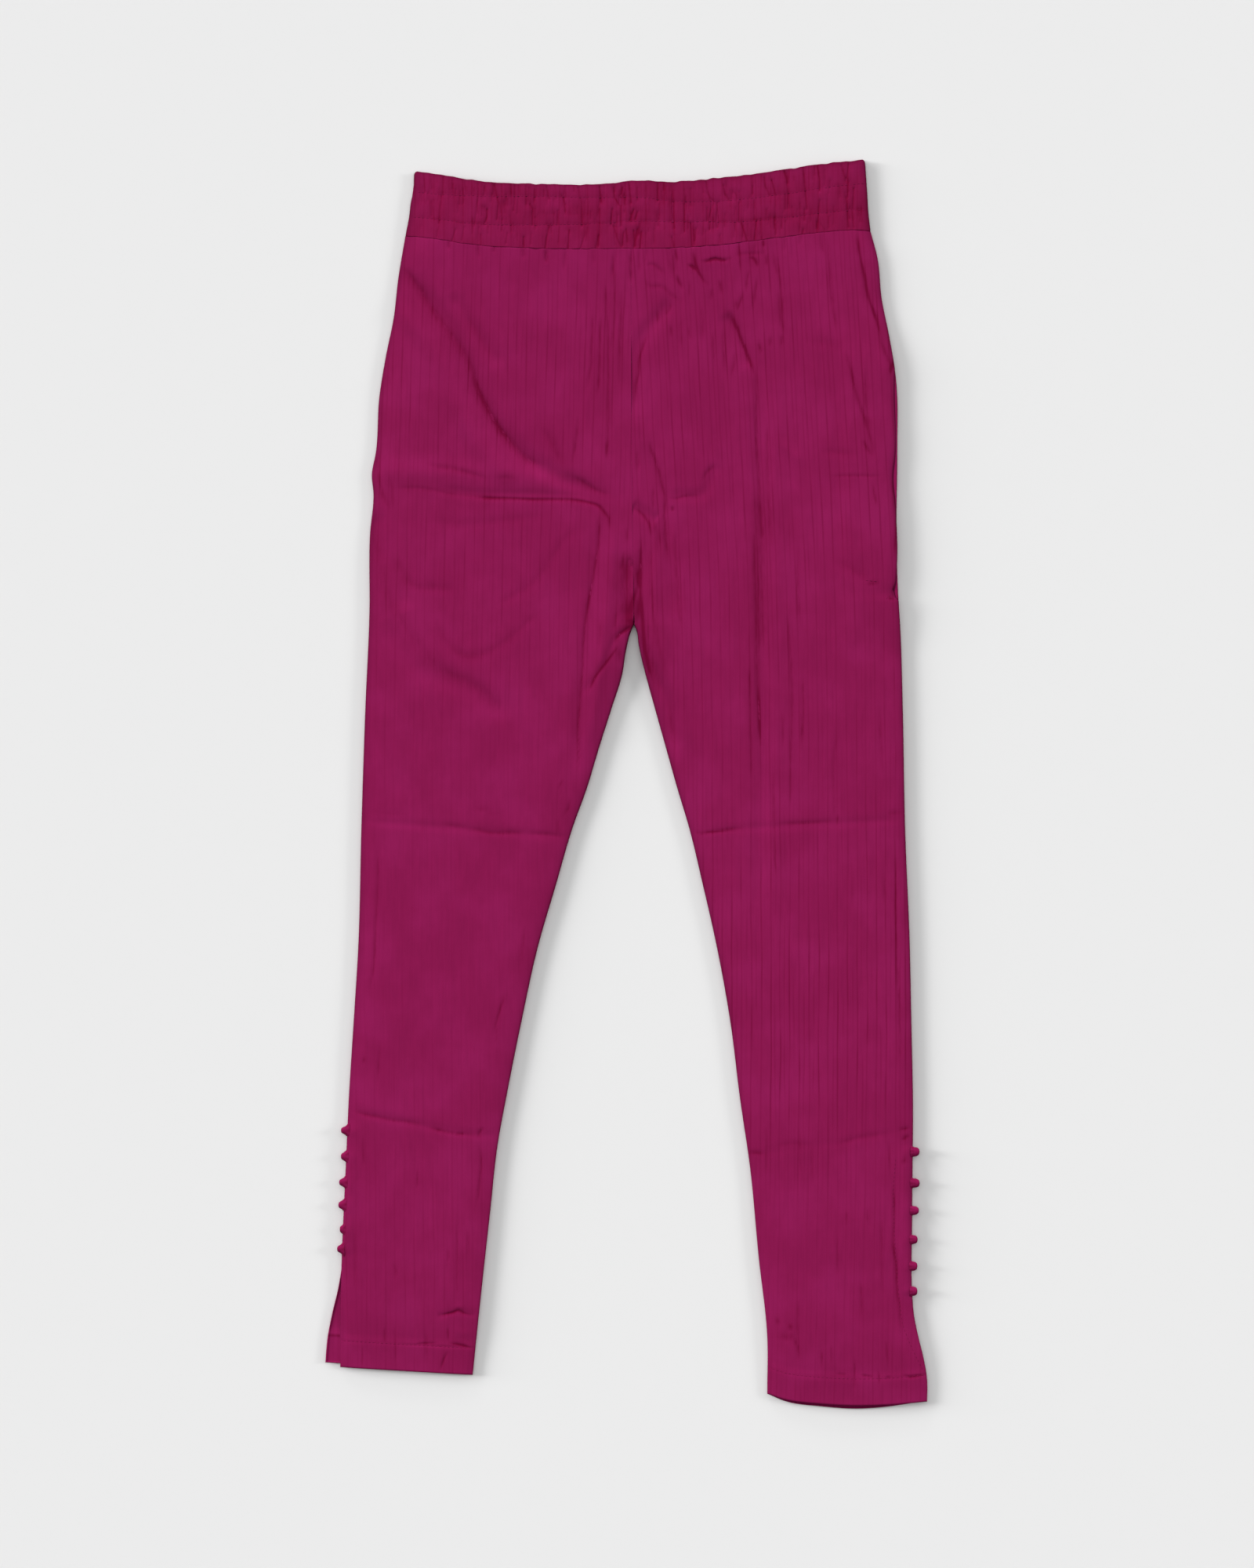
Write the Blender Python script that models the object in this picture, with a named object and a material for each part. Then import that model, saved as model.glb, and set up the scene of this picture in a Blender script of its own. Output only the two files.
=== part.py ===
"""Slim cotton pants with a gathered elastic waistband, laid flat on their back.

The model lies on the plane z = 0 with the waistband at +Y, its outline seen from +Z.
Left and right mean left and right as seen from above. Sizes are millimetres until the
meshes are written, which are metres. Every piece of cloth is a closed wall that stays a
seam gap away from its neighbours.
"""
import math
from collections import namedtuple

import bmesh
import bpy
import numpy as np

MM = 0.001

# Cloth walls and the gaps between sewn pieces
PANEL_WALL = 1.1
HEM_WALL = 1.7
FACING_WALL = 1.0
SEAM_GAP = 0.3
HALF_GAP = SEAM_GAP / 2

# How the back curls up at its free edges and how the front lofts over it
BACK_CURL = 0.8
CURL_REACH = 5.0
FRONT_LOFT = 2.9
LOFT_REACH = 13.0
HEM_LOFT = 0.55
HEM_LOFT_REACH = 70.0
CLEARANCE = 0.35

# Turned hems
HEM_DEPTH = 23.0
HEM_STEP = 4.0

# How far below the waist seam and above the hem the grid bends to follow their curves
SEAM_BEND = 90.0
HEM_BEND = 60.0

# Grid of a leg panel: two narrow columns at each free edge, even ones between
EDGE_COLUMNS = (0.0, 1.7, 5.2)
FRONT_COLUMNS = 18
BACK_COLUMNS = 11

# Waistband: a flattened tube with two rows of stitching, so three channels
BAND_WALL = 1.9
BAND_END_HEIGHT = 5.4
BAND_END_RADIUS = BAND_END_HEIGHT / 2
BAND_BACK_COLUMNS = 32
BAND_END_COLUMNS = 3
BAND_INNER_COLUMNS = 32
BAND_CROWN = 0.9
BAND_RELIEF = 1.0
BAND_END_FADE = 7.0
GATHER_PHASES = (0.0, 0.25, 0.5, 0.75)
GATHER_SEED = 11

# Ball buttons
BUTTON_RADIUS = 3.2
BUTTON_HEIGHT = 3.4
BUTTON_SIDES = 10
BUTTON_RINGS = 5

# Waist seam, as position across and height up the cloth
WAIST_SEAM = (
    # x, y
    (-174.8, 433.4),
    (-148.2, 430.3),
    (-123.4, 426.4),
    (-92.4, 424.1),
    (-61.4, 422.9),
    (-24.2, 422.8),
    (31.6, 423.5),
    (62.6, 425.0),
    (93.6, 428.2),
    (124.6, 432.1),
    (155.6, 435.9),
    (180.4, 437.7),
    (193.4, 437.1),
)

# Top edge of the waistband
BAND_TOP = (
    # x, y
    (-168.0, 484.6),
    (-149.4, 482.2),
    (-119.7, 477.0),
    (-60.1, 473.9),
    (-30.4, 473.6),
    (-0.6, 475.4),
    (39.1, 476.2),
    (68.8, 478.6),
    (108.5, 483.0),
    (148.2, 489.0),
    (189.1, 494.2),
)

# Ends of the waistband, as height up the cloth and position across
BAND_LEFT_END = ((433.4, -174.8), (451.4, -171.7), (461.3, -170.6), (471.2, -168.6), (484.6, -168.0))
BAND_RIGHT_END = ((437.1, 193.4), (451.4, 191.8), (471.2, 190.6), (494.2, 189.1))

# A place on the loop round the waistband, and a column of its gathered front
Station = namedtuple("Station", "place share turn")
Column = namedtuple("Column", "share gather phase width")

# Rows up the waistband: share of its height, share of full relief, how far the row is drawn in
BAND_ROWS = (
    # share, relief, drawn_in
    (0.00, 0.35, 0.50),
    (0.17, 1.00, 0.00),
    (0.34, 0.30, 0.60),
    (0.51, 1.00, 0.00),
    (0.69, 0.30, 0.60),
    (0.85, 1.00, 0.00),
    (1.00, 0.45, 0.50),
)

# Gathers across the front of the waistband, closer together near the middle
BAND_GATHERS = (
    # start, end, count
    (-166.0, -22.0, 18),
    (-22.0, 8.0, 6),
    (8.0, 186.0, 21),
)

# Outer and inner edges of the legs, as height up the cloth and position across
LEFT_SIDE = (
    (-461.3, -226.3),
    (-434.0, -226.3),
    (-374.5, -225.1),
    (-303.8, -222.0),
    (-248.0, -219.5),
    (-189.1, -215.8),
    (-127.1, -212.0),
    (-34.1, -209.6),
    (58.9, -206.5),
    (136.4, -203.2),
    (198.4, -202.7),
    (229.4, -200.0),
    (244.9, -201.3),
    (262.0, -198.2),
    (306.9, -195.3),
    (337.9, -190.3),
    (368.9, -184.0),
    (399.9, -180.4),
    (433.4, -174.8),
)
RIGHT_SIDE = (
    (-488.6, 238.1),
    (-471.2, 238.1),
    (-452.6, 235.0),
    (-437.7, 231.3),
    (-419.1, 227.6),
    (-406.0, 226.5),
    (-341.0, 226.3),
    (-248.0, 226.9),
    (-189.1, 225.7),
    (-127.1, 224.4),
    (-34.1, 220.7),
    (58.9, 218.9),
    (120.9, 217.0),
    (151.9, 215.1),
    (198.4, 213.9),
    (260.4, 214.5),
    (322.4, 213.3),
    (353.4, 208.3),
    (384.4, 202.1),
    (415.4, 199.0),
    (437.1, 193.4),
)
LEFT_INSEAM = (
    (-467.5, -121.5),
    (-408.0, -115.3),
    (-341.0, -107.9),
    (-281.5, -101.1),
    (-248.0, -94.9),
    (-189.1, -83.1),
    (-127.1, -69.4),
    (-80.6, -55.8),
    (-34.1, -42.2),
    (-3.1, -31.0),
    (27.9, -21.7),
    (58.9, -11.8),
    (89.9, -2.5),
    (120.9, 3.1),
    (125.9, 6.2),
)
RIGHT_INSEAM = (
    (-482.4, 111.6),
    (-437.7, 111.6),
    (-374.5, 104.8),
    (-303.8, 98.0),
    (-248.0, 89.9),
    (-189.1, 82.5),
    (-127.1, 71.3),
    (-80.6, 60.8),
    (-34.1, 49.6),
    (-3.1, 40.3),
    (27.9, 31.6),
    (58.9, 22.9),
    (89.9, 14.9),
    (120.9, 8.7),
    (125.9, 6.2),
)
CENTRE_SEAM = ((125.9, 6.2), (272.8, 4.3), (423.5, 3.7))
CROTCH_Y = 125.9

# The pocket opening in the right side seam, where the front's edge lies inside the back's
POCKET_TOP = 327.0
POCKET_FOOT = 145.0
POCKET_DEPTH = 24.0
FACING_INSET = 0.4
FACING_ROWS = 12
FACING_COLUMNS = (0.0, 0.1, 0.4, 1.0)
POCKET_FADE = 12.0
POCKET_LIFT = FACING_WALL + 1.5 * SEAM_GAP
POCKET_LIP = (
    # y, how far the front's edge lies inside the side seam
    (145.0, 0.0),
    (149.0, 3.6),
    (160.0, 1.6),
    (223.0, 1.2),
    (243.0, 3.4),
    (262.0, 1.6),
    (318.0, 1.4),
    (327.0, 0.0),
)

# The ankle slits, where the lower edges of front and back part
BACK_LEFT_FLARE = (
    # y, how far the back's edge stands outside the front's
    (-457.6, 11.8),
    (-452.0, 11.4),
    (-437.7, 10.0),
    (-419.1, 6.6),
    (-398.0, 2.0),
    (-384.0, 0.0),
)
BACK_RIGHT_INSET = 3.0
BACK_RIGHT_INSET_REACH = 30.0
BACK_RIGHT_SLIT_TOP = -408.0

# Lower edge of the right front, as position across and height up the cloth
RIGHT_HEM = (
    (111.6, -482.4),
    (124.6, -486.6),
    (154.4, -490.3),
    (184.1, -491.6),
    (210.0, -490.8),
    (238.1, -488.6),
)

# Lower edge of the right back, which shows a little below the front
RIGHT_BACK_HEM = (
    (111.6, -482.4),
    (124.6, -487.9),
    (154.4, -492.4),
    (184.1, -494.2),
    (204.0, -492.9),
    (223.8, -490.2),
    (235.1, -488.2),
)

# Guide lines of the panel grids, at the folds that packing left across the legs
Guide = namedtuple("Guide", "outer inner rows_above")
LEFT_GUIDES = (
    Guide(-461.3, -467.5, 3),
    Guide(-436.5, -446.4, 3),
    Guide(-384.0, -390.0, 6),
    Guide(-257.3, -278.4, 9),
    Guide(-29.1, -41.5, 9),
    Guide(131.0, 125.9, 8),
    Guide(239.3, 214.0, 18),
    Guide(433.4, 423.5, 0),
)
LEFT_BACK_GUIDES = (Guide(-457.6, -466.0, 3),) + LEFT_GUIDES[1:]
RIGHT_GUIDES = (
    Guide(-488.6, -482.4, 3),
    Guide(-465.5, -459.5, 3),
    Guide(-405.0, -405.0, 6),
    Guide(-272.8, -292.6, 9),
    Guide(-28.0, -37.2, 9),
    Guide(131.0, 125.9, 8),
    Guide(229.4, 216.0, 18),
    Guide(437.1, 423.5, 0),
)
BACK_ROW_SHARE = 0.45
GUIDE_PULL = 0.10

# Folds fade out over a share of their length, from a share of their height, and less at an edge
FOLD_FADE = 0.18
FOLD_END_SHARE = 0.25
EDGE_FOLD_SHARE = 0.3

# Folds in the fronts: a path over the cloth, a height (below zero for a trough) and a half width
Fold = namedtuple("Fold", "path height width")
LEFT_FOLDS = (
    Fold(((-176, 406), (-139, 360), (-117, 310), (-99, 279), (-74, 254), (-12, 226)), -2.0, 7.0),
    Fold(((-186, 385), (-152, 340), (-132, 295), (-112, 262), (-86, 238)), 1.4, 8.0),
    Fold(((-139, 388), (-120, 360), (-99, 329)), -1.0, 6.0),
    Fold(((-176, 236), (-111, 229), (-61, 228), (-24, 223), (-12, 214)), -1.5, 5.0),
    Fold(((-199, 246), (-150, 246), (-90, 243), (-40, 240)), 0.9, 9.0),
    Fold(((-198, 217), (-185, 174), (-173, 136)), -1.1, 8.0),
    Fold(((-192, 130), (-167, 93), (-123, 74), (-92, 50)), -1.0, 9.0),
    Fold(((-21, 211), (-27, 149), (-35, 93), (-40, 6)), -1.7, 5.0),
    Fold(((-10, 205), (-14, 149), (-20, 100), (-29, 30)), 1.1, 5.0),
    Fold(((6, 126), (-7, 117), (-15, 100), (-34, 71)), -1.1, 3.5),
    Fold(((-3, 192), (-6, 158), (0, 130)), -1.6, 5.0),
    Fold(((-209, -29), (-45, -42)), -0.9, 4.5),
    Fold(((-220, -257), (-173, -267), (-117, -277), (-100, -278)), -1.0, 4.5),
    Fold(((-151, -421), (-133, -417), (-118, -420)), -1.0, 4.0),
    Fold(((-217, -264), (-220, -320), (-222, -372)), 1.2, 7.0),
)
RIGHT_FOLDS = (
    Fold(((12, 186), (10, 149), (16, 105), (32, 62), (39, 25)), -1.8, 5.0),
    Fold(((24, 186), (22, 149), (28, 105), (42, 62), (50, 20)), 1.2, 5.5),
    Fold(((13, 270), (28, 223), (33, 186), (41, 130)), -1.2, 5.0),
    Fold(((4, 220), (25, 208)), -1.0, 5.0),
    Fold(((35, 228), (60, 229), (72, 254)), -0.9, 5.0),
    Fold(((103, 329), (106, 254), (107, 100), (105, -124)), -1.3, 6.0),
    Fold(((116, 329), (119, 254), (120, 100), (118, -100)), 0.8, 7.0),
    Fold(((78, 372), (90, 347), (97, 329)), -1.2, 6.0),
    Fold(((38, 384), (10, 347), (8, 291)), -1.1, 6.0),
    Fold(((53, -37), (221, -28)), -0.8, 4.5),
    Fold(((99, -293), (156, -285), (224, -273)), -0.9, 4.5),
    Fold(((213, -291), (213, -363), (216, -412), (223, -435), (236, -468)), -0.9, 4.0),
    Fold(((221, -284), (222, -340), (222, -404)), 1.2, 6.0),
)

# Buttons: height up the cloth, and how far each stands out from the edge of the leg
Button = namedtuple("Button", "y reach")
LEFT_BUTTONS = (
    Button(-274.0, 5.0),
    Button(-294.5, 4.2),
    Button(-315.0, 4.7),
    Button(-332.9, 4.4),
    Button(-352.2, 2.4),
    Button(-367.7, 3.9),
)
RIGHT_BUTTONS = (
    Button(-290.8, 5.3),
    Button(-315.6, 5.7),
    Button(-337.3, 5.3),
    Button(-360.2, 4.5),
    Button(-381.3, 4.6),
    Button(-401.1, 4.2),
)

# Materials, as linear colour and roughness
CLOTH_COLOUR = (0.238, 0.0105, 0.0750)
BAND_COLOUR = (0.224, 0.0085, 0.0560)
BUTTON_COLOUR = (0.230, 0.0100, 0.0650)
CLOTH_ROUGHNESS = 0.85


# Curves through tables

def curve_through(table, at):
    """Smooth curve through rows of (position, value), read at the positions asked for."""
    places = np.array([row[0] for row in table], dtype=float)
    values = np.array([row[1] for row in table], dtype=float)
    slopes = np.diff(values) / np.diff(places)
    tangents = np.empty_like(values)
    tangents[0] = slopes[0]
    tangents[-1] = slopes[-1]
    widths = np.diff(places)
    tangents[1:-1] = (slopes[:-1] * widths[1:] + slopes[1:] * widths[:-1]) / (widths[1:] + widths[:-1])
    at = np.clip(np.asarray(at, dtype=float), places[0], places[-1])
    index = np.clip(np.searchsorted(places, at, side="right") - 1, 0, len(places) - 2)
    width = widths[index]
    t = (at - places[index]) / width
    start_part = (1 + 2 * t) * (1 - t) ** 2 * values[index] + t * (1 - t) ** 2 * width * tangents[index]
    end_part = t * t * (3 - 2 * t) * values[index + 1] - t * t * (1 - t) * width * tangents[index + 1]
    return start_part + end_part


def smooth_step(value):
    """Rise smoothly from 0 to 1 as the value goes from 0 to 1."""
    share = np.clip(value, 0.0, 1.0)
    return share * share * (3 - 2 * share)


def along_path(x, y, path):
    """Distance to a path of straight runs, and how far along it the nearest point is."""
    points = np.array(path, dtype=float)
    runs = np.diff(points, axis=0)
    lengths = np.hypot(runs[:, 0], runs[:, 1])
    starts = np.concatenate(([0.0], np.cumsum(lengths)))
    distance = np.full(np.shape(x), np.inf)
    place = np.zeros(np.shape(x))
    for point, run, length, start in zip(points, runs, lengths, starts):
        share = ((x - point[0]) * run[0] + (y - point[1]) * run[1]) / length ** 2
        share = np.clip(share, 0.0, 1.0)
        gap = np.hypot(x - point[0] - share * run[0], y - point[1] - share * run[1])
        nearer = gap < distance
        distance = np.where(nearer, gap, distance)
        place = np.where(nearer, start + share * length, place)
    return distance, place / starts[-1]


def fold_height(x, y, folds):
    """Sum of soft ridges and troughs, each fading out towards the ends of its path."""
    total = np.zeros(np.shape(x))
    for fold in folds:
        distance, share = along_path(x, y, fold.path)
        fade = smooth_step(share / FOLD_FADE + FOLD_END_SHARE)
        fade = fade * smooth_step((1 - share) / FOLD_FADE + FOLD_END_SHARE)
        total += fold.height * np.exp(-(distance / fold.width) ** 2) * fade
    return total


# Plan of a leg panel

def inner_edge(inseam, y):
    """Inner edge of a panel: the centre seam above the crotch, the inseam below it."""
    above = curve_through(CENTRE_SEAM, y)
    below = curve_through(inseam, y)
    return np.where(y >= CROTCH_Y, above, below)


def guide_rows(guides, row_share):
    """Heights of the grid rows at the outer and inner edge, closer together near each guide."""
    outer = []
    inner = []
    for low, high in zip(guides[:-1], guides[1:]):
        count = max(2, round(low.rows_above * row_share))
        steps = np.arange(count) / count
        shares = steps - GUIDE_PULL * np.sin(2 * math.pi * steps)
        outer.extend(low.outer + shares * (high.outer - low.outer))
        inner.extend(low.inner + shares * (high.inner - low.inner))
    outer.append(guides[-1].outer)
    inner.append(guides[-1].inner)
    return np.array(outer), np.array(inner)


def column_shares(width, count):
    """Shares of a panel's width at which its columns stand."""
    edge = np.array(EDGE_COLUMNS) / width
    middle = np.linspace(edge[-1], 1 - edge[-1], count + 1 - 2 * (len(edge) - 1))
    return np.concatenate((edge[:-1], middle, 1 - edge[-2::-1]))


def panel_plan(side, inseam, guides, columns, row_share, hem=None):
    """Grid of x and y over one leg panel, rows from the hem up, columns from its side seam in."""
    outer_y, inner_y = guide_rows(guides, row_share)
    outer_x = side(outer_y)
    inner_x = inner_edge(inseam, inner_y)
    inward = np.sign(inner_x[0] - outer_x[0])
    at_centre = inner_y >= CROTCH_Y - 0.01
    inner_x = inner_x - inward * HALF_GAP * at_centre
    shares = np.array([column_shares(abs(i - o), columns) for o, i in zip(outer_x, inner_x)])
    x = outer_x[:, None] + shares * (inner_x - outer_x)[:, None]
    y = outer_y[:, None] + shares * (inner_y - outer_y)[:, None]
    seam_fade = np.clip(1 - (outer_y[-1] - outer_y) / SEAM_BEND, 0.0, 1.0) ** 2
    seam_rise = curve_through(WAIST_SEAM, x[-1]) - HALF_GAP - y[-1]
    y = y + seam_fade[:, None] * seam_rise
    if hem is not None:
        hem_fade = np.clip(1 - (outer_y - outer_y[0]) / HEM_BEND, 0.0, 1.0) ** 2
        y = y + hem_fade[:, None] * (curve_through(hem, x[0]) - y[0])
    return x, y


def edge_distance(x, y, side, inseam):
    """Distance from a free edge: the side seam, or the inseam from the crotch down."""
    rows = np.linspace(inseam[0][0], CROTCH_Y, 60)
    edge_x = curve_through(inseam, rows)
    from_inseam = np.full(x.shape, np.inf)
    for point_x, point_y in zip(edge_x, rows):
        from_inseam = np.minimum(from_inseam, np.hypot(x - point_x, y - point_y))
    from_side = np.abs(x - side(y))
    return np.minimum(from_inseam, from_side)


# Heights of the two layers

def hem_share(y, hem_y):
    """One inside the turned hem, falling to zero just above it."""
    return 1 - smooth_step((y - hem_y - HEM_DEPTH) / HEM_STEP)


def back_surfaces(x, y, side, inseam, hem_y):
    """Underside and top of a back panel, flat where it rests and curled at its free edges."""
    distance = edge_distance(x, y, side, inseam)
    under = BACK_CURL * np.clip(1 - distance / CURL_REACH, 0.0, 1.0) ** 2
    wall = PANEL_WALL + (HEM_WALL - PANEL_WALL) * hem_share(y, hem_y) * np.clip(distance / CURL_REACH, 0, 1)
    return under, under + wall


def pocket_share(x, y):
    """One over the pocket facing, falling to zero round it."""
    along = smooth_step((POCKET_TOP + POCKET_FADE - y) / POCKET_FADE)
    along = along * smooth_step((y - POCKET_FOOT + POCKET_FADE) / POCKET_FADE)
    inside = curve_through(RIGHT_SIDE, y) - x
    return along * smooth_step((POCKET_DEPTH + 2 * POCKET_FADE - inside) / POCKET_FADE)


def front_surfaces(x, y, side, inseam, folds, hem_y, has_pocket):
    """Underside and top of a front panel, lofted over the back and creased by its folds."""
    distance = edge_distance(x, y, side, inseam)
    rest = BACK_CURL + PANEL_WALL + SEAM_GAP
    loft = FRONT_LOFT * (1 - np.exp(-distance / LOFT_REACH))
    loft = loft * (HEM_LOFT + (1 - HEM_LOFT) * smooth_step((y - hem_y) / HEM_LOFT_REACH))
    creases = fold_height(x, y, folds) * smooth_step(distance / CURL_REACH + EDGE_FOLD_SHARE)
    under = rest + loft + creases
    in_hem = hem_share(y, hem_y)
    floor = PANEL_WALL + CLEARANCE + (HEM_WALL - PANEL_WALL) * in_hem
    floor = np.maximum(floor, rest - distance)
    if has_pocket:
        lift = POCKET_LIFT * pocket_share(x, y)
        under = under + lift
        floor = floor + lift
    under = np.maximum(under, floor)
    wall = PANEL_WALL + (HEM_WALL - PANEL_WALL) * in_hem * np.clip(distance / CURL_REACH, 0, 1)
    return under, under + wall


# Meshes

def material(name, colour, roughness):
    """Principled material of one piece."""
    made = bpy.data.materials.new(name)
    made.use_nodes = True
    shader = made.node_tree.nodes["Principled BSDF"]
    shader.inputs["Base Color"].default_value = (*colour, 1.0)
    shader.inputs["Roughness"].default_value = roughness
    shader.inputs["Metallic"].default_value = 0.0
    return made


def finish_object(name, mesh_data, colour):
    """Turn a bmesh into a named object with its own material."""
    bmesh.ops.recalc_face_normals(mesh_data, faces=mesh_data.faces)
    mesh = bpy.data.meshes.new(name)
    mesh_data.to_mesh(mesh)
    mesh_data.free()
    mesh.shade_smooth()
    mesh.set_sharp_from_angle(angle=math.radians(40))
    mesh.materials.append(material(name, colour, CLOTH_ROUGHNESS))
    made = bpy.data.objects.new(name, mesh)
    bpy.context.scene.collection.objects.link(made)
    return made


def add_points(mesh_data, x, y, z):
    """Add a grid of points, given in millimetres, and return the vertices in the same grid."""
    rows, columns = x.shape
    grid = []
    for r in range(rows):
        grid.append([mesh_data.verts.new((x[r, c] * MM, y[r, c] * MM, z[r, c] * MM)) for c in range(columns)])
    return grid


def quad(mesh_data, a, b, c, d):
    """Fill four corners with two triangles along the shorter diagonal."""
    if (a.co - c.co).length <= (b.co - d.co).length:
        mesh_data.faces.new((a, b, c))
        mesh_data.faces.new((a, c, d))
    else:
        mesh_data.faces.new((a, b, d))
        mesh_data.faces.new((b, c, d))


def wall_panel(name, x, y, under, top, colour):
    """Closed wall between two height grids over one plan."""
    mesh_data = bmesh.new()
    upper = add_points(mesh_data, x, y, top)
    lower = add_points(mesh_data, x, y, under)
    rows, columns = x.shape
    for r in range(rows - 1):
        for c in range(columns - 1):
            quad(mesh_data, upper[r][c], upper[r][c + 1], upper[r + 1][c + 1], upper[r + 1][c])
            quad(mesh_data, lower[r][c], lower[r + 1][c], lower[r + 1][c + 1], lower[r][c + 1])
    border = [(0, c) for c in range(columns - 1)]
    border += [(r, columns - 1) for r in range(rows - 1)]
    border += [(rows - 1, c) for c in range(columns - 1, 0, -1)]
    border += [(r, 0) for r in range(rows - 1, 0, -1)]
    for (r, c), (next_r, next_c) in zip(border, border[1:] + border[:1]):
        quad(mesh_data, upper[r][c], lower[r][c], lower[next_r][next_c], upper[next_r][next_c])
    return finish_object(name, mesh_data, colour)


# Leg panels

def left_side(y):
    return curve_through(LEFT_SIDE, y)


def right_side(y):
    return curve_through(RIGHT_SIDE, y)


def right_front_side(y):
    """Side edge of the right front, drawn in along the pocket opening."""
    return right_side(y) - curve_through(POCKET_LIP, y)


def left_back_side(y):
    """Side edge of the left back, flared out below the ankle slit."""
    return left_side(y) - curve_through(BACK_LEFT_FLARE, y)


def right_back_side(y):
    """Side edge of the right back, under the front's flare below the ankle slit."""
    below_slit = smooth_step((BACK_RIGHT_SLIT_TOP - y) / BACK_RIGHT_INSET_REACH)
    return right_side(y) - BACK_RIGHT_INSET * below_slit


def make_front(name, side, inseam, guides, folds, hem, has_pocket):
    x, y = panel_plan(side, inseam, guides, FRONT_COLUMNS, 1.0, hem)
    hem_y = y[0][None, :]
    under, top = front_surfaces(x, y, side, inseam, folds, hem_y, has_pocket)
    return wall_panel(name, x, y, under, top, CLOTH_COLOUR)


def make_back(name, side, inseam, guides, hem):
    x, y = panel_plan(side, inseam, guides, BACK_COLUMNS, BACK_ROW_SHARE, hem)
    hem_y = y[0][None, :]
    under, top = back_surfaces(x, y, side, inseam, hem_y)
    return wall_panel(name, x, y, under, top, CLOTH_COLOUR)


def make_pocket_facing():
    """Strip of cloth sewn to the back along the pocket opening, under the front's edge."""
    rows = np.linspace(POCKET_FOOT, POCKET_TOP, FACING_ROWS)
    shares = np.array(FACING_COLUMNS)
    edge = right_side(rows) - FACING_INSET
    x = edge[:, None] - shares[None, :] * (POCKET_DEPTH - FACING_INSET)
    y = np.repeat(rows[:, None], len(shares), axis=1)
    _, back_top = back_surfaces(x, y, right_side, RIGHT_INSEAM, RIGHT_SIDE[0][0])
    under = back_top + SEAM_GAP
    return wall_panel("pocket_facing", x, y, under, under + FACING_WALL, CLOTH_COLOUR)


# Waistband

def band_stations(front_shares, back_count, end_count):
    """Stations round the flattened tube: its front from left to right, right end, back, left end."""
    ends = [step / (end_count + 1) for step in range(1, end_count + 1)]
    stations = [Station(share, share, 0.0) for share in front_shares]
    stations += [Station(1 + step, 1.0, step) for step in ends]
    stations += [Station(2 + step, 1 - step, 1.0) for step in np.linspace(0, 1, back_count + 1)]
    stations += [Station(3 + step, 0.0, 1 - step) for step in ends]
    return stations


def band_end(table, height_share):
    """Position across of one end of the band at a share of its height."""
    low, high = table[0][0], table[-1][0]
    return float(curve_through(table, low + height_share * (high - low)))


def band_point(station, height_share, radius, front_z, shift):
    """Point of a tube whose ends turn round the given radius."""
    left = band_end(BAND_LEFT_END, height_share) + BAND_END_RADIUS
    right = band_end(BAND_RIGHT_END, height_share) - BAND_END_RADIUS
    x = left + station.share * (right - left) + shift
    if station.turn == 0.0:
        z = front_z
    else:
        outward = 1 if station.share > 0.5 else -1
        x += outward * radius * math.sin(math.pi * station.turn)
        z = BAND_END_RADIUS + radius * math.cos(math.pi * station.turn)
    low = float(curve_through(WAIST_SEAM, x)) + HALF_GAP
    high = float(curve_through(BAND_TOP, x))
    return x, low + height_share * (high - low), z


def band_front_height(share):
    """Height of the band's front before its gathers, highest in the middle."""
    return BAND_END_HEIGHT + BAND_CROWN * smooth_step(min(share, 1 - share) / 0.2)


def gather_columns():
    """Columns across the band's front: share across, gather number, phase and gather width."""
    first, last = BAND_GATHERS[0][0], BAND_GATHERS[-1][1]
    columns = []
    for start, end, count in BAND_GATHERS:
        width = (end - start) / count
        for step in range(count):
            number = len(columns) // len(GATHER_PHASES)
            for phase in GATHER_PHASES:
                share = (start + (step + phase) * width - first) / (last - first)
                columns.append(Column(share, number, phase, width))
    columns.append(Column(1.0, len(columns) // len(GATHER_PHASES), 0.0, 0.0))
    return columns


def band_outer_points():
    """Grid of points over the band's outside, gathered in three channels on its front."""
    columns = gather_columns()
    random = np.random.default_rng(GATHER_SEED)
    shape = (len(columns), len(BAND_ROWS))
    strength = random.uniform(0.55, 1.0, shape)
    lean = random.uniform(-0.1, 0.1, shape)
    stations = band_stations([column.share for column in columns], BAND_BACK_COLUMNS, BAND_END_COLUMNS)
    width = BAND_GATHERS[-1][1] - BAND_GATHERS[0][0]
    rows = []
    for r, (height_share, relief, drawn_in) in enumerate(BAND_ROWS):
        row = []
        for s, station in enumerate(stations):
            shift = 0.0
            front_z = 0.0
            if station.turn == 0.0:
                column = columns[s]
                crest = (1 - math.cos(2 * math.pi * column.phase)) / 2
                from_end = min(station.share, 1 - station.share) * width
                fade = smooth_step(from_end / BAND_END_FADE)
                shift = lean[column.gather, r] * column.width * crest
                rise = BAND_RELIEF * relief * strength[column.gather, r] * crest - drawn_in
                front_z = band_front_height(station.share) + rise * fade
            row.append(band_point(station, height_share, BAND_END_RADIUS, front_z, shift))
        rows.append(row)
    return stations, rows


def band_inner_points():
    """Plain inside of the band, with fewer columns and only its two edges."""
    shares = np.linspace(0, 1, BAND_INNER_COLUMNS + 1)
    stations = band_stations(shares, BAND_BACK_COLUMNS, BAND_END_COLUMNS)
    rows = []
    for height_share in (0.0, 1.0):
        row = []
        for station in stations:
            front_z = band_front_height(station.share) - BAND_WALL
            row.append(band_point(station, height_share, BAND_END_RADIUS - BAND_WALL, front_z, 0.0))
        rows.append(row)
    return stations, rows


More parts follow.
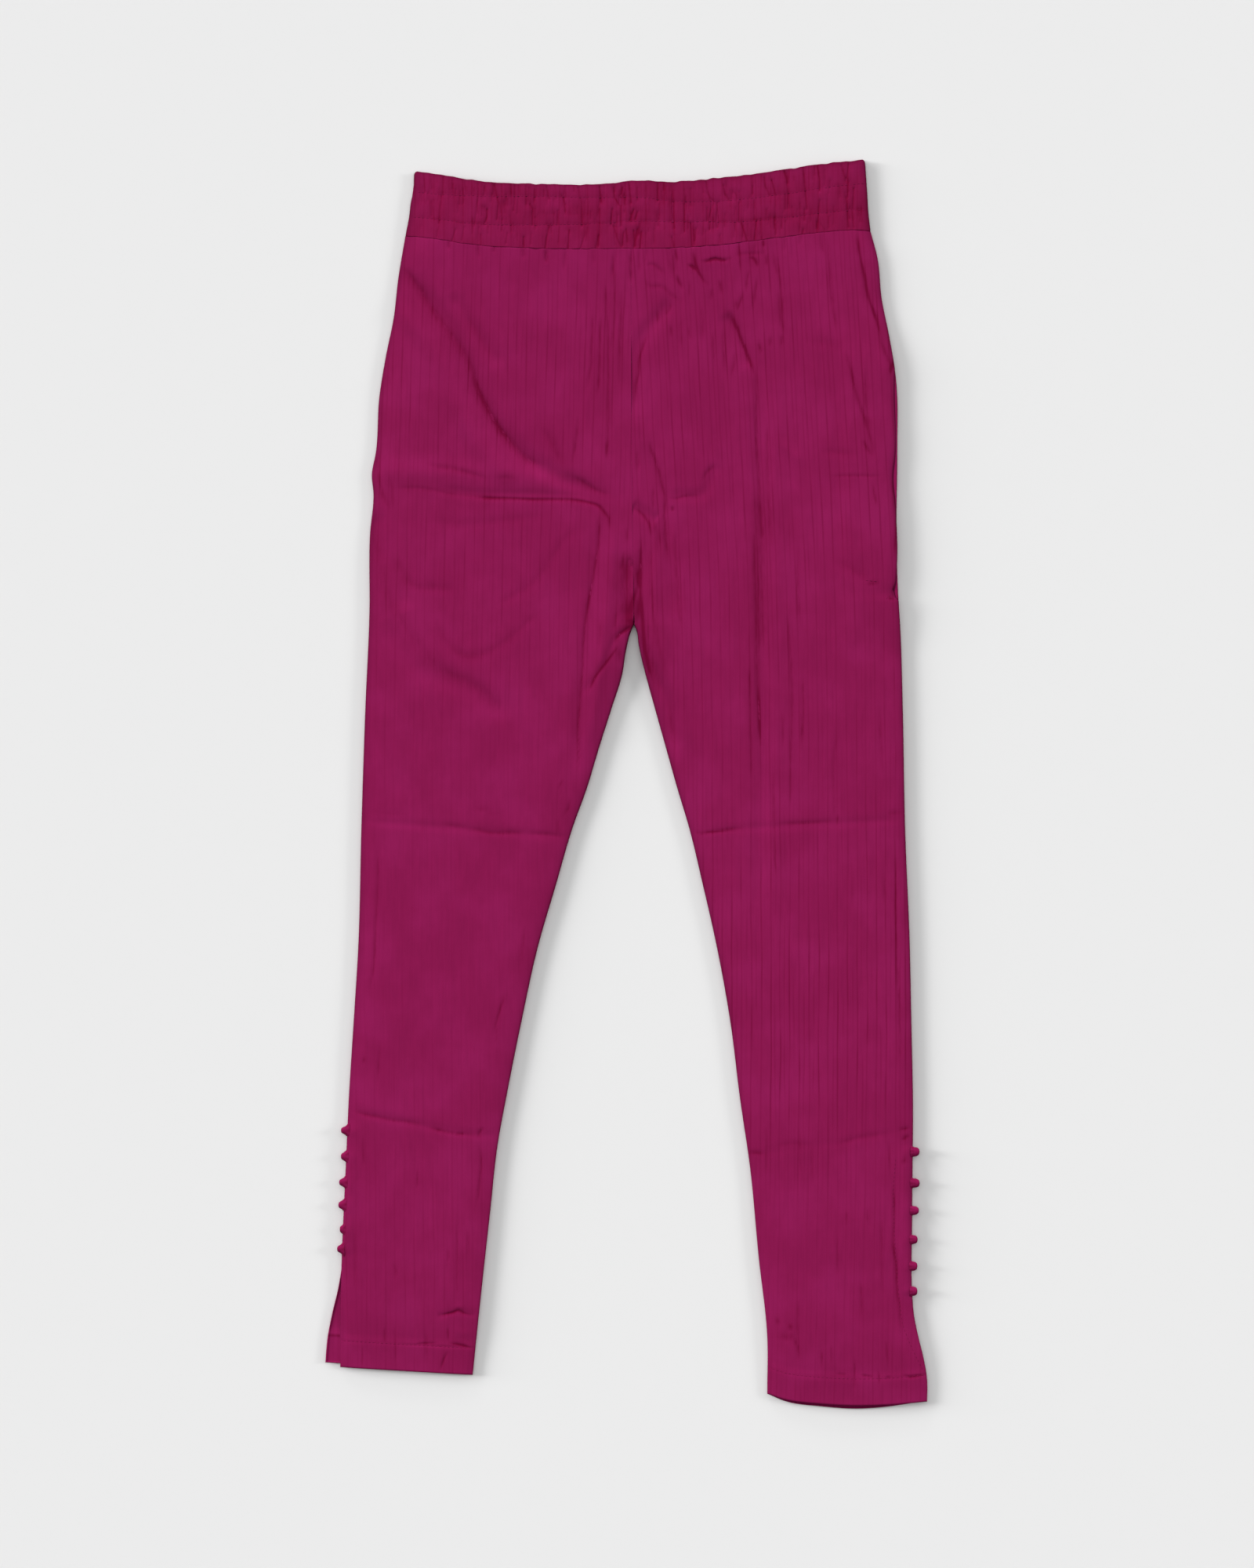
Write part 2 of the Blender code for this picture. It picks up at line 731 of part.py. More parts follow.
def close_edge(mesh_data, outer, outer_stations, inner, inner_stations):
    """Fill between two loops with different numbers of points, matched by their places."""
    outer_count, inner_count = len(outer), len(inner)
    o = 0
    i = 0
    while o < outer_count or i < inner_count:
        next_outer = outer_stations[o + 1].place if o + 1 < outer_count else 4.0
        next_inner = inner_stations[i + 1].place if i + 1 < inner_count else 4.0
        outer_here = outer[o % outer_count]
        inner_here = inner[i % inner_count]
        if i >= inner_count or (o < outer_count and next_outer <= next_inner):
            mesh_data.faces.new((outer_here, outer[(o + 1) % outer_count], inner_here))
            o += 1
        else:
            mesh_data.faces.new((outer_here, inner[(i + 1) % inner_count], inner_here))
            i += 1


def make_waistband():
    mesh_data = bmesh.new()
    skins = []
    for stations, rows in (band_outer_points(), band_inner_points()):
        grid = [[mesh_data.verts.new([v * MM for v in point]) for point in row] for row in rows]
        skins.append((stations, grid))
        for low, high in zip(grid[:-1], grid[1:]):
            for c in range(len(low)):
                after = (c + 1) % len(low)
                quad(mesh_data, low[c], low[after], high[after], high[c])
    (outer_stations, outer), (inner_stations, inner) = skins
    close_edge(mesh_data, outer[0], outer_stations, inner[0], inner_stations)
    close_edge(mesh_data, outer[-1], outer_stations, inner[-1], inner_stations)
    return finish_object("waistband", mesh_data, BAND_COLOUR)


# Buttons

def make_button(name, edge_x, outward, button):
    """Ball button whose inner side is hidden by the edge that it is sewn to."""
    mesh_data = bmesh.new()
    centre = button.reach - BUTTON_RADIUS
    cut = SEAM_GAP - centre
    start_angle = math.acos(max(-1.0, min(1.0, cut / BUTTON_RADIUS)))
    profile = []
    for ring in range(BUTTON_RINGS + 1):
        angle = start_angle * (1 - ring / BUTTON_RINGS)
        profile.append((centre + BUTTON_RADIUS * math.cos(angle), BUTTON_RADIUS * math.sin(angle)))
    rings = []
    for reach, radius in profile[:-1]:
        ring = []
        for side in range(BUTTON_SIDES):
            turn = 2 * math.pi * (side + 0.5) / BUTTON_SIDES
            place = (
                (edge_x + outward * reach) * MM,
                (button.y + radius * math.cos(turn)) * MM,
                (BUTTON_HEIGHT + radius * math.sin(turn)) * MM,
            )
            ring.append(mesh_data.verts.new(place))
        rings.append(ring)
    tip = mesh_data.verts.new(((edge_x + outward * profile[-1][0]) * MM, button.y * MM, BUTTON_HEIGHT * MM))
    for low, high in zip(rings[:-1], rings[1:]):
        for side in range(BUTTON_SIDES):
            after = (side + 1) % BUTTON_SIDES
            mesh_data.faces.new((low[side], low[after], high[after], high[side]))
    for side in range(BUTTON_SIDES):
        mesh_data.faces.new((rings[-1][side], rings[-1][(side + 1) % BUTTON_SIDES], tip))
    mesh_data.faces.new(rings[0])
    return finish_object(name, mesh_data, BUTTON_COLOUR)


def clear_scene():
    for thing in list(bpy.data.objects):
        bpy.data.objects.remove(thing)


def build():
    clear_scene()
    make_waistband()
    make_front("front_left", left_side, LEFT_INSEAM, LEFT_GUIDES, LEFT_FOLDS, None, False)
    make_front("front_right", right_front_side, RIGHT_INSEAM, RIGHT_GUIDES, RIGHT_FOLDS, RIGHT_HEM, True)
    make_back("back_left", left_back_side, LEFT_INSEAM, LEFT_BACK_GUIDES, None)
    make_back("back_right", right_back_side, RIGHT_INSEAM, RIGHT_GUIDES, RIGHT_BACK_HEM)
    make_pocket_facing()
    for number, button in enumerate(LEFT_BUTTONS, start=1):
        make_button(f"button_left_{number}", float(left_side(button.y)), -1, button)
    for number, button in enumerate(RIGHT_BUTTONS, start=1):
        make_button(f"button_right_{number}", float(right_side(button.y)), 1, button)


build()
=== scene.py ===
"""Looks of the slim cotton pants: thin cloth shells with their creases, gathers and stitching,
fabric buttons, cloth materials, light and camera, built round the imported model.

Left and right mean left and right as seen from above. Sizes are millimetres until the meshes
are written, which are metres. The first tables repeat the outlines and main folds of the
part's solids; the later ones hold what is finer than those.
"""
import math
from collections import namedtuple

import bpy
import numpy as np
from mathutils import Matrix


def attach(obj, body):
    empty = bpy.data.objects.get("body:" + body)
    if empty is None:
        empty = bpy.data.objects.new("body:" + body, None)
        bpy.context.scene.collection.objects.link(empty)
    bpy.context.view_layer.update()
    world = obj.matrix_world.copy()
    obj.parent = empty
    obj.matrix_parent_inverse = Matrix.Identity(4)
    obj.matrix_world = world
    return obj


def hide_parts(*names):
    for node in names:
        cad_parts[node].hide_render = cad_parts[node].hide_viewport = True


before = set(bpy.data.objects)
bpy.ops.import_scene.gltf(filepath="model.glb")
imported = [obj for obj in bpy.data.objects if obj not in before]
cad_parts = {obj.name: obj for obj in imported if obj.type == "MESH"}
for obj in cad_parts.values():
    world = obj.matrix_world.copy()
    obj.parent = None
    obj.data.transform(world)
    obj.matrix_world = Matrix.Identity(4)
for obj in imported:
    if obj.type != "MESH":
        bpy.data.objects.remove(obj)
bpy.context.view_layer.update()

MM = 0.001

# The solids' walls, loft, curl and hem, and how far up and down the panels' edges bend
PANEL_WALL = 1.1
HEM_WALL = 1.7
FACING_WALL = 1.0
SEAM_GAP = 0.3
BACK_CURL = 0.8
CURL_REACH = 5.0
FRONT_LOFT = 2.9
LOFT_REACH = 13.0
HEM_LOFT = 0.55
HEM_LOFT_REACH = 70.0
CLEARANCE = 0.35
HEM_DEPTH = 23.0
HEM_STEP = 4.0
SEAM_BEND = 90.0
HEM_BEND = 60.0

# Waistband: height and flatness of its ends, crown of its middle, and its outline as x and y
BAND_END_HEIGHT = 5.4
BAND_END_RADIUS = BAND_END_HEIGHT / 2
BAND_CROWN = 0.9
BAND_CROWN_REACH = 0.2
BAND_END_PRESS = 0.38
BAND_PRESS_REACH = 30.0
BAND_CORNER = 3.2

WAIST_SEAM = (
    (-174.8, 433.4), (-148.2, 430.3), (-123.4, 426.4), (-92.4, 424.1), (-61.4, 422.9),
    (-24.2, 422.8), (31.6, 423.5), (62.6, 425.0), (93.6, 428.2), (124.6, 432.1), (155.6, 435.9),
    (180.4, 437.7), (193.4, 437.1),
)
BAND_TOP = (
    (-168.0, 484.6), (-149.4, 482.2), (-119.7, 477.0), (-60.1, 473.9), (-30.4, 473.6),
    (-12.0, 474.6), (0.0, 476.6), (13.0, 477.0), (25.0, 475.9), (39.1, 475.9), (68.8, 478.6),
    (108.5, 483.0), (148.2, 489.0), (189.1, 494.2),
)
BAND_LEFT_END = (
    # y, x
    (433.4, -174.8), (451.4, -171.7), (461.3, -170.6), (471.2, -168.6), (484.6, -168.0),
)
BAND_RIGHT_END = ((437.1, 193.4), (451.4, 191.8), (471.2, 190.6), (494.2, 189.1))

# Outer and inner edges of the legs, as height up the cloth and position across
LEFT_SIDE = (
    (-461.3, -226.3), (-434.0, -226.3), (-374.5, -225.1), (-303.8, -222.0), (-248.0, -219.5),
    (-189.1, -215.8), (-127.1, -212.0), (-34.1, -209.6), (58.9, -206.5), (136.4, -203.2),
    (198.4, -202.7), (229.4, -200.0), (244.9, -201.3), (262.0, -198.2), (306.9, -195.3),
    (337.9, -190.3), (368.9, -184.0), (399.9, -180.4), (433.4, -174.8),
)
RIGHT_SIDE = (
    (-488.6, 238.1), (-471.2, 238.1), (-452.6, 235.0), (-437.7, 231.3), (-419.1, 227.6),
    (-406.0, 226.5), (-341.0, 226.3), (-248.0, 226.9), (-189.1, 225.7), (-127.1, 224.4),
    (-34.1, 220.7), (58.9, 218.9), (120.9, 217.0), (151.9, 215.1), (198.4, 213.9), (260.4, 214.5),
    (322.4, 213.3), (353.4, 208.3), (384.4, 202.1), (415.4, 199.0), (437.1, 193.4),
)
LEFT_INSEAM = (
    (-467.5, -121.5), (-408.0, -115.3), (-341.0, -107.9), (-281.5, -101.1), (-248.0, -94.9),
    (-189.1, -83.1), (-127.1, -69.4), (-80.6, -55.8), (-34.1, -42.2), (-3.1, -31.0), (27.9, -21.7),
    (58.9, -11.8), (89.9, -2.5), (99.2, -1.2), (111.6, 1.2), (120.9, 3.8), (125.9, 6.2),
)
RIGHT_INSEAM = (
    (-482.4, 111.6), (-437.7, 111.6), (-374.5, 104.8), (-303.8, 98.0), (-248.0, 89.9),
    (-189.1, 82.5), (-127.1, 71.3), (-80.6, 60.8), (-34.1, 49.6), (-3.1, 40.3), (27.9, 31.6),
    (58.9, 22.9), (89.9, 14.4), (99.2, 12.1), (111.6, 9.6), (120.9, 8.3), (125.9, 6.2),
)
CENTRE_SEAM = ((125.9, 6.2), (272.8, 4.3), (423.5, 3.7))
CROTCH_Y = 125.9
CROTCH_X = 6.2

# Pocket opening in the right side seam
POCKET_TOP = 327.0
POCKET_FOOT = 145.0
POCKET_DEPTH = 24.0
POCKET_FADE = 12.0
POCKET_LIFT = FACING_WALL + 1.5 * SEAM_GAP
FACING_INSET = 0.4
POCKET_LIP = (
    # y, how far the front's edge lies inside the side seam
    (145.0, 0.0), (149.0, 3.6), (160.0, 1.6), (223.0, 1.2), (243.0, 3.4), (262.0, 1.6),
    (318.0, 1.4), (327.0, 0.0),
)

# The ankle slits and the lower edges
BACK_LEFT_FLARE = (
    # y, how far the back's edge stands outside the front's
    (-457.6, 11.8), (-452.0, 11.4), (-437.7, 10.0), (-419.1, 6.6), (-398.0, 2.0), (-384.0, 0.0),
)
BACK_RIGHT_INSET = 3.0
BACK_RIGHT_INSET_REACH = 30.0
BACK_RIGHT_SLIT_TOP = -408.0
RIGHT_HEM = (
    (111.6, -482.4), (124.6, -486.6), (154.4, -490.3), (184.1, -491.6), (210.0, -490.8),
    (238.1, -488.6),
)
RIGHT_BACK_HEM = (
    (111.6, -482.4), (124.6, -487.9), (154.4, -492.4), (184.1, -494.2), (204.0, -492.9),
    (223.8, -490.2), (235.1, -488.2),
)

# Guide lines of the panel grids, at the folds that packing left across the legs
Guide = namedtuple("Guide", "outer inner rows_above")
LEFT_GUIDES = (
    Guide(-461.3, -467.5, 3), Guide(-436.5, -446.4, 3), Guide(-413.0, -419.0, 3),
    Guide(-384.0, -390.0, 6), Guide(-257.3, -278.4, 9), Guide(-29.1, -41.5, 4),
    Guide(62.0, 55.0, 6), Guide(131.0, 125.9, 8), Guide(239.3, 214.0, 18), Guide(433.4, 423.5, 0),
)
LEFT_BACK_GUIDES = (Guide(-457.6, -466.0, 3),) + LEFT_GUIDES[1:]
RIGHT_GUIDES = (
    Guide(-488.6, -482.4, 3), Guide(-465.5, -459.5, 3), Guide(-405.0, -405.0, 6),
    Guide(-272.8, -292.6, 9), Guide(-28.0, -37.2, 4), Guide(62.0, 55.0, 6),
    Guide(131.0, 125.9, 8), Guide(229.4, 216.0, 18), Guide(437.1, 423.5, 0),
)
GUIDE_PULL = 0.10
FRONT_ROWS = 7.2
BACK_ROWS = 3.4
FRONT_COLUMNS = 196
BACK_COLUMNS = 72

# Folds of the solids: height (below zero for a trough), half width, and the points of the path
FOLD_FADE = 0.18
FOLD_END_SHARE = 0.25
FOLD_NEAR = 3
EDGE_FOLD_SHARE = 0.3
Fold = namedtuple("Fold", "path height width")


def folds(*rows):
    return tuple(Fold(row[2:], *row[:2]) for row in rows)


LEFT_FOLDS = folds(
    (-2.0, 7.0, (-176, 406), (-139, 360), (-117, 310), (-99, 279), (-74, 254), (-12, 226)),
    (1.4, 8.0, (-186, 385), (-152, 340), (-132, 295), (-112, 262), (-86, 238)),
    (-1.0, 6.0, (-139, 388), (-120, 360), (-99, 329)),
    (-0.6, 4.0, (-150, 233), (-111, 229), (-61, 228), (-24, 223), (-12, 214)),
    (0.9, 9.0, (-199, 246), (-150, 246), (-90, 243), (-40, 240)),
    (-1.1, 8.0, (-198, 217), (-185, 174), (-173, 136)),
    (-1.0, 9.0, (-192, 130), (-167, 93), (-123, 74), (-92, 50)),
    (-0.9, 5.0, (-21, 211), (-27, 155), (-34, 98), (-40, 6)),
    (1.1, 5.0, (-10, 205), (-14, 149), (-20, 100), (-29, 30)),
    (-0.45, 2.6, (6, 126), (-7, 117), (-15, 100), (-34, 71)),
    (-1.2, 4.5, (3, 180), (0, 156), (2, 130)),
    (-0.4, 3.5, (-209, -29), (-45, -42)),
    (-0.4, 3.5, (-220, -257), (-173, -267), (-117, -277), (-100, -278)),
    (-0.35, 3.0, (-151, -421), (-133, -417), (-118, -420)),
    (1.2, 7.0, (-217, -264), (-220, -320), (-222, -372)),
)
RIGHT_FOLDS = folds(
    (-1.8, 5.0, (12, 186), (10, 149), (16, 105), (32, 62), (39, 25)),
    (1.2, 5.5, (24, 186), (22, 149), (28, 105), (42, 62), (50, 20)),
    (-1.2, 5.0, (13, 270), (28, 223), (33, 186), (41, 130)),
    (-1.0, 5.0, (4, 220), (25, 208)),
    (-0.65, 5.0, (35, 228), (60, 229), (72, 254)),
    (-1.3, 6.0, (103, 329), (106, 254), (107, 100), (105, -124)),
    (0.8, 7.0, (116, 329), (119, 254), (120, 100), (118, -100)),
    (-1.2, 6.0, (78, 372), (90, 347), (97, 329)),
    (-1.1, 6.0, (38, 384), (10, 347), (8, 291)),
    (-0.35, 3.5, (53, -37), (221, -28)),
    (-0.12, 3.5, (99, -293), (156, -285), (224, -273)),
    (-0.15, 3.0, (213, -291), (213, -363), (216, -412), (223, -435), (236, -468)),
    (1.2, 6.0, (221, -284), (222, -340), (222, -404)),
)

# Finer creases: depth (above zero for a ridge), half widths on the left and the right of the
# path's direction, how much painted shade darkens the cloth along it, and the points of the path
Crease = namedtuple("Crease", "path depth left right shade")


def creases(*rows):
    return tuple(Crease(row[4:], *row[:4]) for row in rows)


CROTCH_CREASES = creases(
    (-0.2, 0.8, 0.9, 1.0, (9.3, 171), (9.6, 163), (10.2, 154)),
    (-0.25, 1.1, 1.7, 0.8, (9.5, 160), (8.2, 154), (6.2, 147), (4.6, 140), (3.2, 134.5), (3.4, 130),
     (6.0, 125), (7, 119)),
    (-0.2, 2.0, 2.4, 0.42, (9.4, 152), (9.8, 145), (9.6, 136), (9.0, 126)),
    (-0.3, 4.2, 5.6, 0.55, (2.5, 186), (1.0, 166), (1.2, 150), (1.8, 130), (1, 112)),
)
LEFT_CREASES = CROTCH_CREASES + creases(
    (-0.8, 2.0, 4.2, 0.50, (-179, 411), (-166, 396), (-154, 377), (-139, 356), (-129, 343),
     (-122, 328), (-116, 310), (-108, 294), (-99, 280), (-89, 268), (-78, 257), (-63, 250)),
    (-0.3, 1.2, 1.8, 0.34, (-123, 326), (-116, 310), (-108, 294), (-99, 280), (-88, 267)),
    (-0.35, 3.0, 4.0, 0.26, (-130, 372), (-120, 360), (-112, 347), (-106, 332)),
    (-0.45, 3.2, 3.2, 0.34, (-70, 284), (-60, 272), (-54, 260), (-47, 247)),
    (-0.4, 1.5, 2.8, 0.46, (-48, 245), (-34, 239), (-25, 233), (-18, 230), (-9, 228)),
    (-0.4, 2.4, 2.6, 0.34, (-160, 254), (-150, 251), (-137, 249), (-122, 245), (-106, 240)),
    (-0.2, 2.2, 2.0, 0.25, (-105, 241), (-95, 242), (-85, 240)),
    (-0.2, 2.0, 2.2, 0.22, (-186, 234), (-157, 233), (-139, 229), (-116, 227), (-98, 226)),
    (-0.45, 1.0, 1.8, 0.70, (-122, 226.5), (-105, 226), (-89, 225.7), (-74, 225), (-58, 225),
     (-40, 224.4), (-29, 222.4), (-21.5, 219.8), (-17, 214.8), (-14, 210.8), (-12.5, 205),
     (-12, 198)),
    (-0.4, 1.2, 2.2, 0.42, (-195, 269), (-196, 249), (-193, 231), (-185, 213)),
    (-0.25, 1.2, 1.8, 0.25, (-187, 250), (-185, 232), (-184, 211)),
    (-0.55, 4.0, 6.0, 0.20, (-200, 222), (-196, 186), (-188, 149), (-173, 121), (-155, 99)),
    (-0.45, 4.0, 5.5, 0.24, (-165, 108), (-150, 94), (-135, 85), (-122, 80), (-108, 68), (-96, 54)),
    (-0.3, 3.4, 4.2, 0.16, (-150, 132), (-142, 112), (-128, 102), (-112, 103), (-99, 110),
     (-82, 124), (-66, 138)),
    (-0.2, 2.4, 2.4, 0.30, (-140, 107), (-126, 101), (-110, 103)),
    (-0.3, 3.8, 4.4, 0.12, (-104, 140), (-90, 148), (-74, 158), (-61, 174), (-49, 192), (-36, 206)),
    (-0.35, 3.2, 3.6, 0.20, (-182, 186), (-177, 166), (-166, 156), (-152, 155), (-130, 153)),
    (-0.30, 4.5, 5.0, 0.12, (-160, 208), (-130, 205), (-96, 208), (-60, 212)),
    (-0.25, 0.9, 0.9, 0.50, (-26, 377), (-27, 353), (-29, 322), (-32, 308)),
    (-0.28, 0.9, 0.9, 0.60, (-20, 373), (-21, 347), (-22, 316), (-24, 303)),
    (-0.22, 0.9, 0.9, 0.46, (-17, 403), (-14, 329), (-15, 253)),
    (-0.22, 0.8, 0.8, 0.40, (-10, 418), (-9, 380), (-11, 340)),
    (-0.22, 0.9, 0.9, 0.46, (-4, 392), (-4, 374), (-5, 346), (-6, 312)),
    (-0.22, 0.9, 0.9, 0.46, (-38, 293), (-41, 262), (-44, 248)),
    (0.25, 2.5, 2.5, 0.0, (-139, -428), (-130, -434), (-120, -433)),
    (-0.35, 0.7, 1.0, 0.62, (-21.5, 216), (-21.5, 206), (-22.4, 187.4), (-25.3, 168.1),
     (-28.3, 151.5), (-30.8, 137.8), (-32.7, 124), (-33.9, 107.4), (-34.5, 92.4), (-35.8, 74.4),
     (-36.6, 63.4), (-38, 43.5), (-37, 9.5)),
    (-0.2, 1.6, 2.2, 0.2, (-27, 160), (-29.5, 143), (-31.8, 128)),
    (-0.5, 0.7, 1.1, 1.15, (7.5, 132), (4.3, 124.5), (0.6, 122), (-2.5, 120.3), (-5.6, 117.8),
     (-7.2, 115.5), (-6.2, 112), (-6.8, 108)),
    (-0.35, 0.55, 0.8, 1.1, (-5.6, 113), (-6.8, 108.5), (-9.9, 104), (-14.9, 97.3), (-19.8, 91),
     (-24.2, 85), (-27.3, 78.7), (-31.4, 69.3)),
    (-0.25, 1.0, 1.4, 0.3, (-0.5, 186), (-2.5, 176), (-5, 164.5)),
    (-0.2, 0.9, 0.9, 0.3, (0.5, 203.5), (0.5, 189)),
    (-0.3, 0.8, 0.9, 0.5, (-7, 139), (-8.5, 128.5), (-9.5, 119.5)),
    (-0.3, 1.4, 1.6, 0.35, (-6, 109.5), (-5.5, 101.5), (-3.5, 93)),
    (-0.2, 0.7, 0.7, 0.36, (-20, 131.5), (-20.5, 119), (-21, 104)),
    (-0.25, 0.9, 0.9, 0.5, (-15.5, 273), (-15.5, 255.5)),
    (-0.2, 1.6, 1.8, 0.25, (-148, -31), (-132.5, -33.5), (-122, -36)),
    (-0.35, 1.2, 1.6, 0.5, (-128.5, -35.5), (-117, -36.5), (-105, -38.5), (-89.5, -38.5),
     (-77, -39)),
    (-0.3, 0.9, 1.2, 0.34, (-80, -39), (-63, -39.5), (-45.5, -42)),
    (-0.2, 1.6, 1.8, 0.25, (-126, -17.5), (-116, -18.5), (-103, -23), (-97.5, -22.5)),
    (-0.2, 1.8, 2.0, 0.16, (-209.5, -22.5), (-191.5, -23.5), (-167, -25)),
    (-0.3, 1.0, 1.2, 0.55, (-44, -12.5), (-46, -20), (-51, -25)),
    (-0.2, 0.8, 0.9, 0.45, (-52, 5), (-51.5, -7.5)),
    (-0.2, 0.7, 0.7, 0.34, (-54, -26), (-54, -42)),
    (-0.25, 0.9, 1.2, 0.42, (-196, -46.5), (-196.5, -87), (-198, -114.5), (-199.5, -144),
     (-202.5, -162.5)),
    (-0.2, 0.7, 0.9, 0.34, (-194.5, -202), (-195.5, -220), (-196.5, -238)),
    (-0.3, 1.0, 1.2, 0.6, (-206.5, -216), (-208.5, -222)),
    (-0.35, 0.8, 1.1, 0.55, (-91, -162.5), (-98, -173.5), (-101.5, -185), (-105.5, -198)),
    (-0.25, 0.9, 1.1, 0.4, (-80, -109), (-82, -130), (-83, -144)),
    (-0.2, 0.8, 0.8, 0.3, (-102.5, -186), (-102.5, -207.5)),
    (-0.35, 1.3, 1.8, 0.5, (-219, -258), (-211.5, -260), (-205, -261.5), (-196.5, -263),
     (-185.5, -265.5), (-173, -267), (-157.5, -270.5)),
    (-0.3, 1.0, 1.4, 0.42, (-163.5, -269), (-148, -273.5), (-136, -276), (-123.5, -277),
     (-114.5, -279)),
    (-0.15, 1.0, 1.0, 0.3, (-150.5, -273), (-145.5, -274)),
    (-0.15, 1.0, 1.0, 0.3, (-134.5, -276), (-127, -276.5)),
    (-0.3, 1.0, 1.2, 0.5, (-111, -270.5), (-116, -275.5), (-116.5, -282)),
    (-0.3, 1.0, 1.4, 0.45, (-116.5, -282), (-114.5, -297.5), (-115.5, -311), (-116.5, -323.5),
     (-119.5, -338)),
    (-0.2, 1.0, 1.2, 0.36, (-207.5, -276.5), (-207.5, -291.5), (-207, -304)),
    (-0.2, 0.7, 0.7, 0.3, (-215, -347), (-214.5, -372), (-214.5, -403)),
    (-0.2, 0.7, 0.7, 0.34, (-165, -302.5), (-165, -323.5)),
    (-0.2, 0.8, 0.9, 0.32, (-134, -344.5), (-133.5, -372), (-134, -411.5)),
    (-0.2, 0.8, 0.9, 0.34, (-125, -351), (-124.5, -375.5)),
    (-0.2, 0.8, 0.8, 0.34, (-140.5, -366), (-140.5, -379.5)),
    (-0.2, 1.2, 1.4, 0.25, (-184, -377), (-180.5, -392)),
    (-0.45, 0.8, 1.3, 0.8, (-151.5, -420.5), (-146.5, -419.5), (-141.5, -418.5), (-137, -417.5),
     (-132.5, -416), (-128.5, -418), (-123.5, -419.5), (-118.5, -419.5)),
    (0.3, 1.6, 1.6, 0.0, (-137, -414), (-132, -413), (-127, -415)),
    (-0.2, 0.6, 0.6, 0.45, (-191, -428), (-191, -444)),
    (-0.2, 0.8, 0.9, 0.35, (-183, -426.5), (-182.5, -460)),
    (-0.2, 1.2, 1.4, 0.28, (-158.5, -426.5), (-157, -460)),
    (-0.2, 0.6, 0.6, 0.34, (-208.5, -442.5), (-208.5, -462.5)),
    (-0.2, 0.8, 0.8, 0.45, (-141.5, -428), (-140.5, -441.5)),
    (-0.45, 0.8, 1.1, 0.85, (-142, -442), (-136, -442.5), (-128.5, -444), (-119.5, -447)),
    (-0.3, 0.8, 1.0, 0.4, (-168, -442.5), (-157.5, -442), (-147, -442)),
    (-0.4, 0.8, 1.0, 0.6, (-140, -447), (-144, -454.5), (-147, -465)),
)
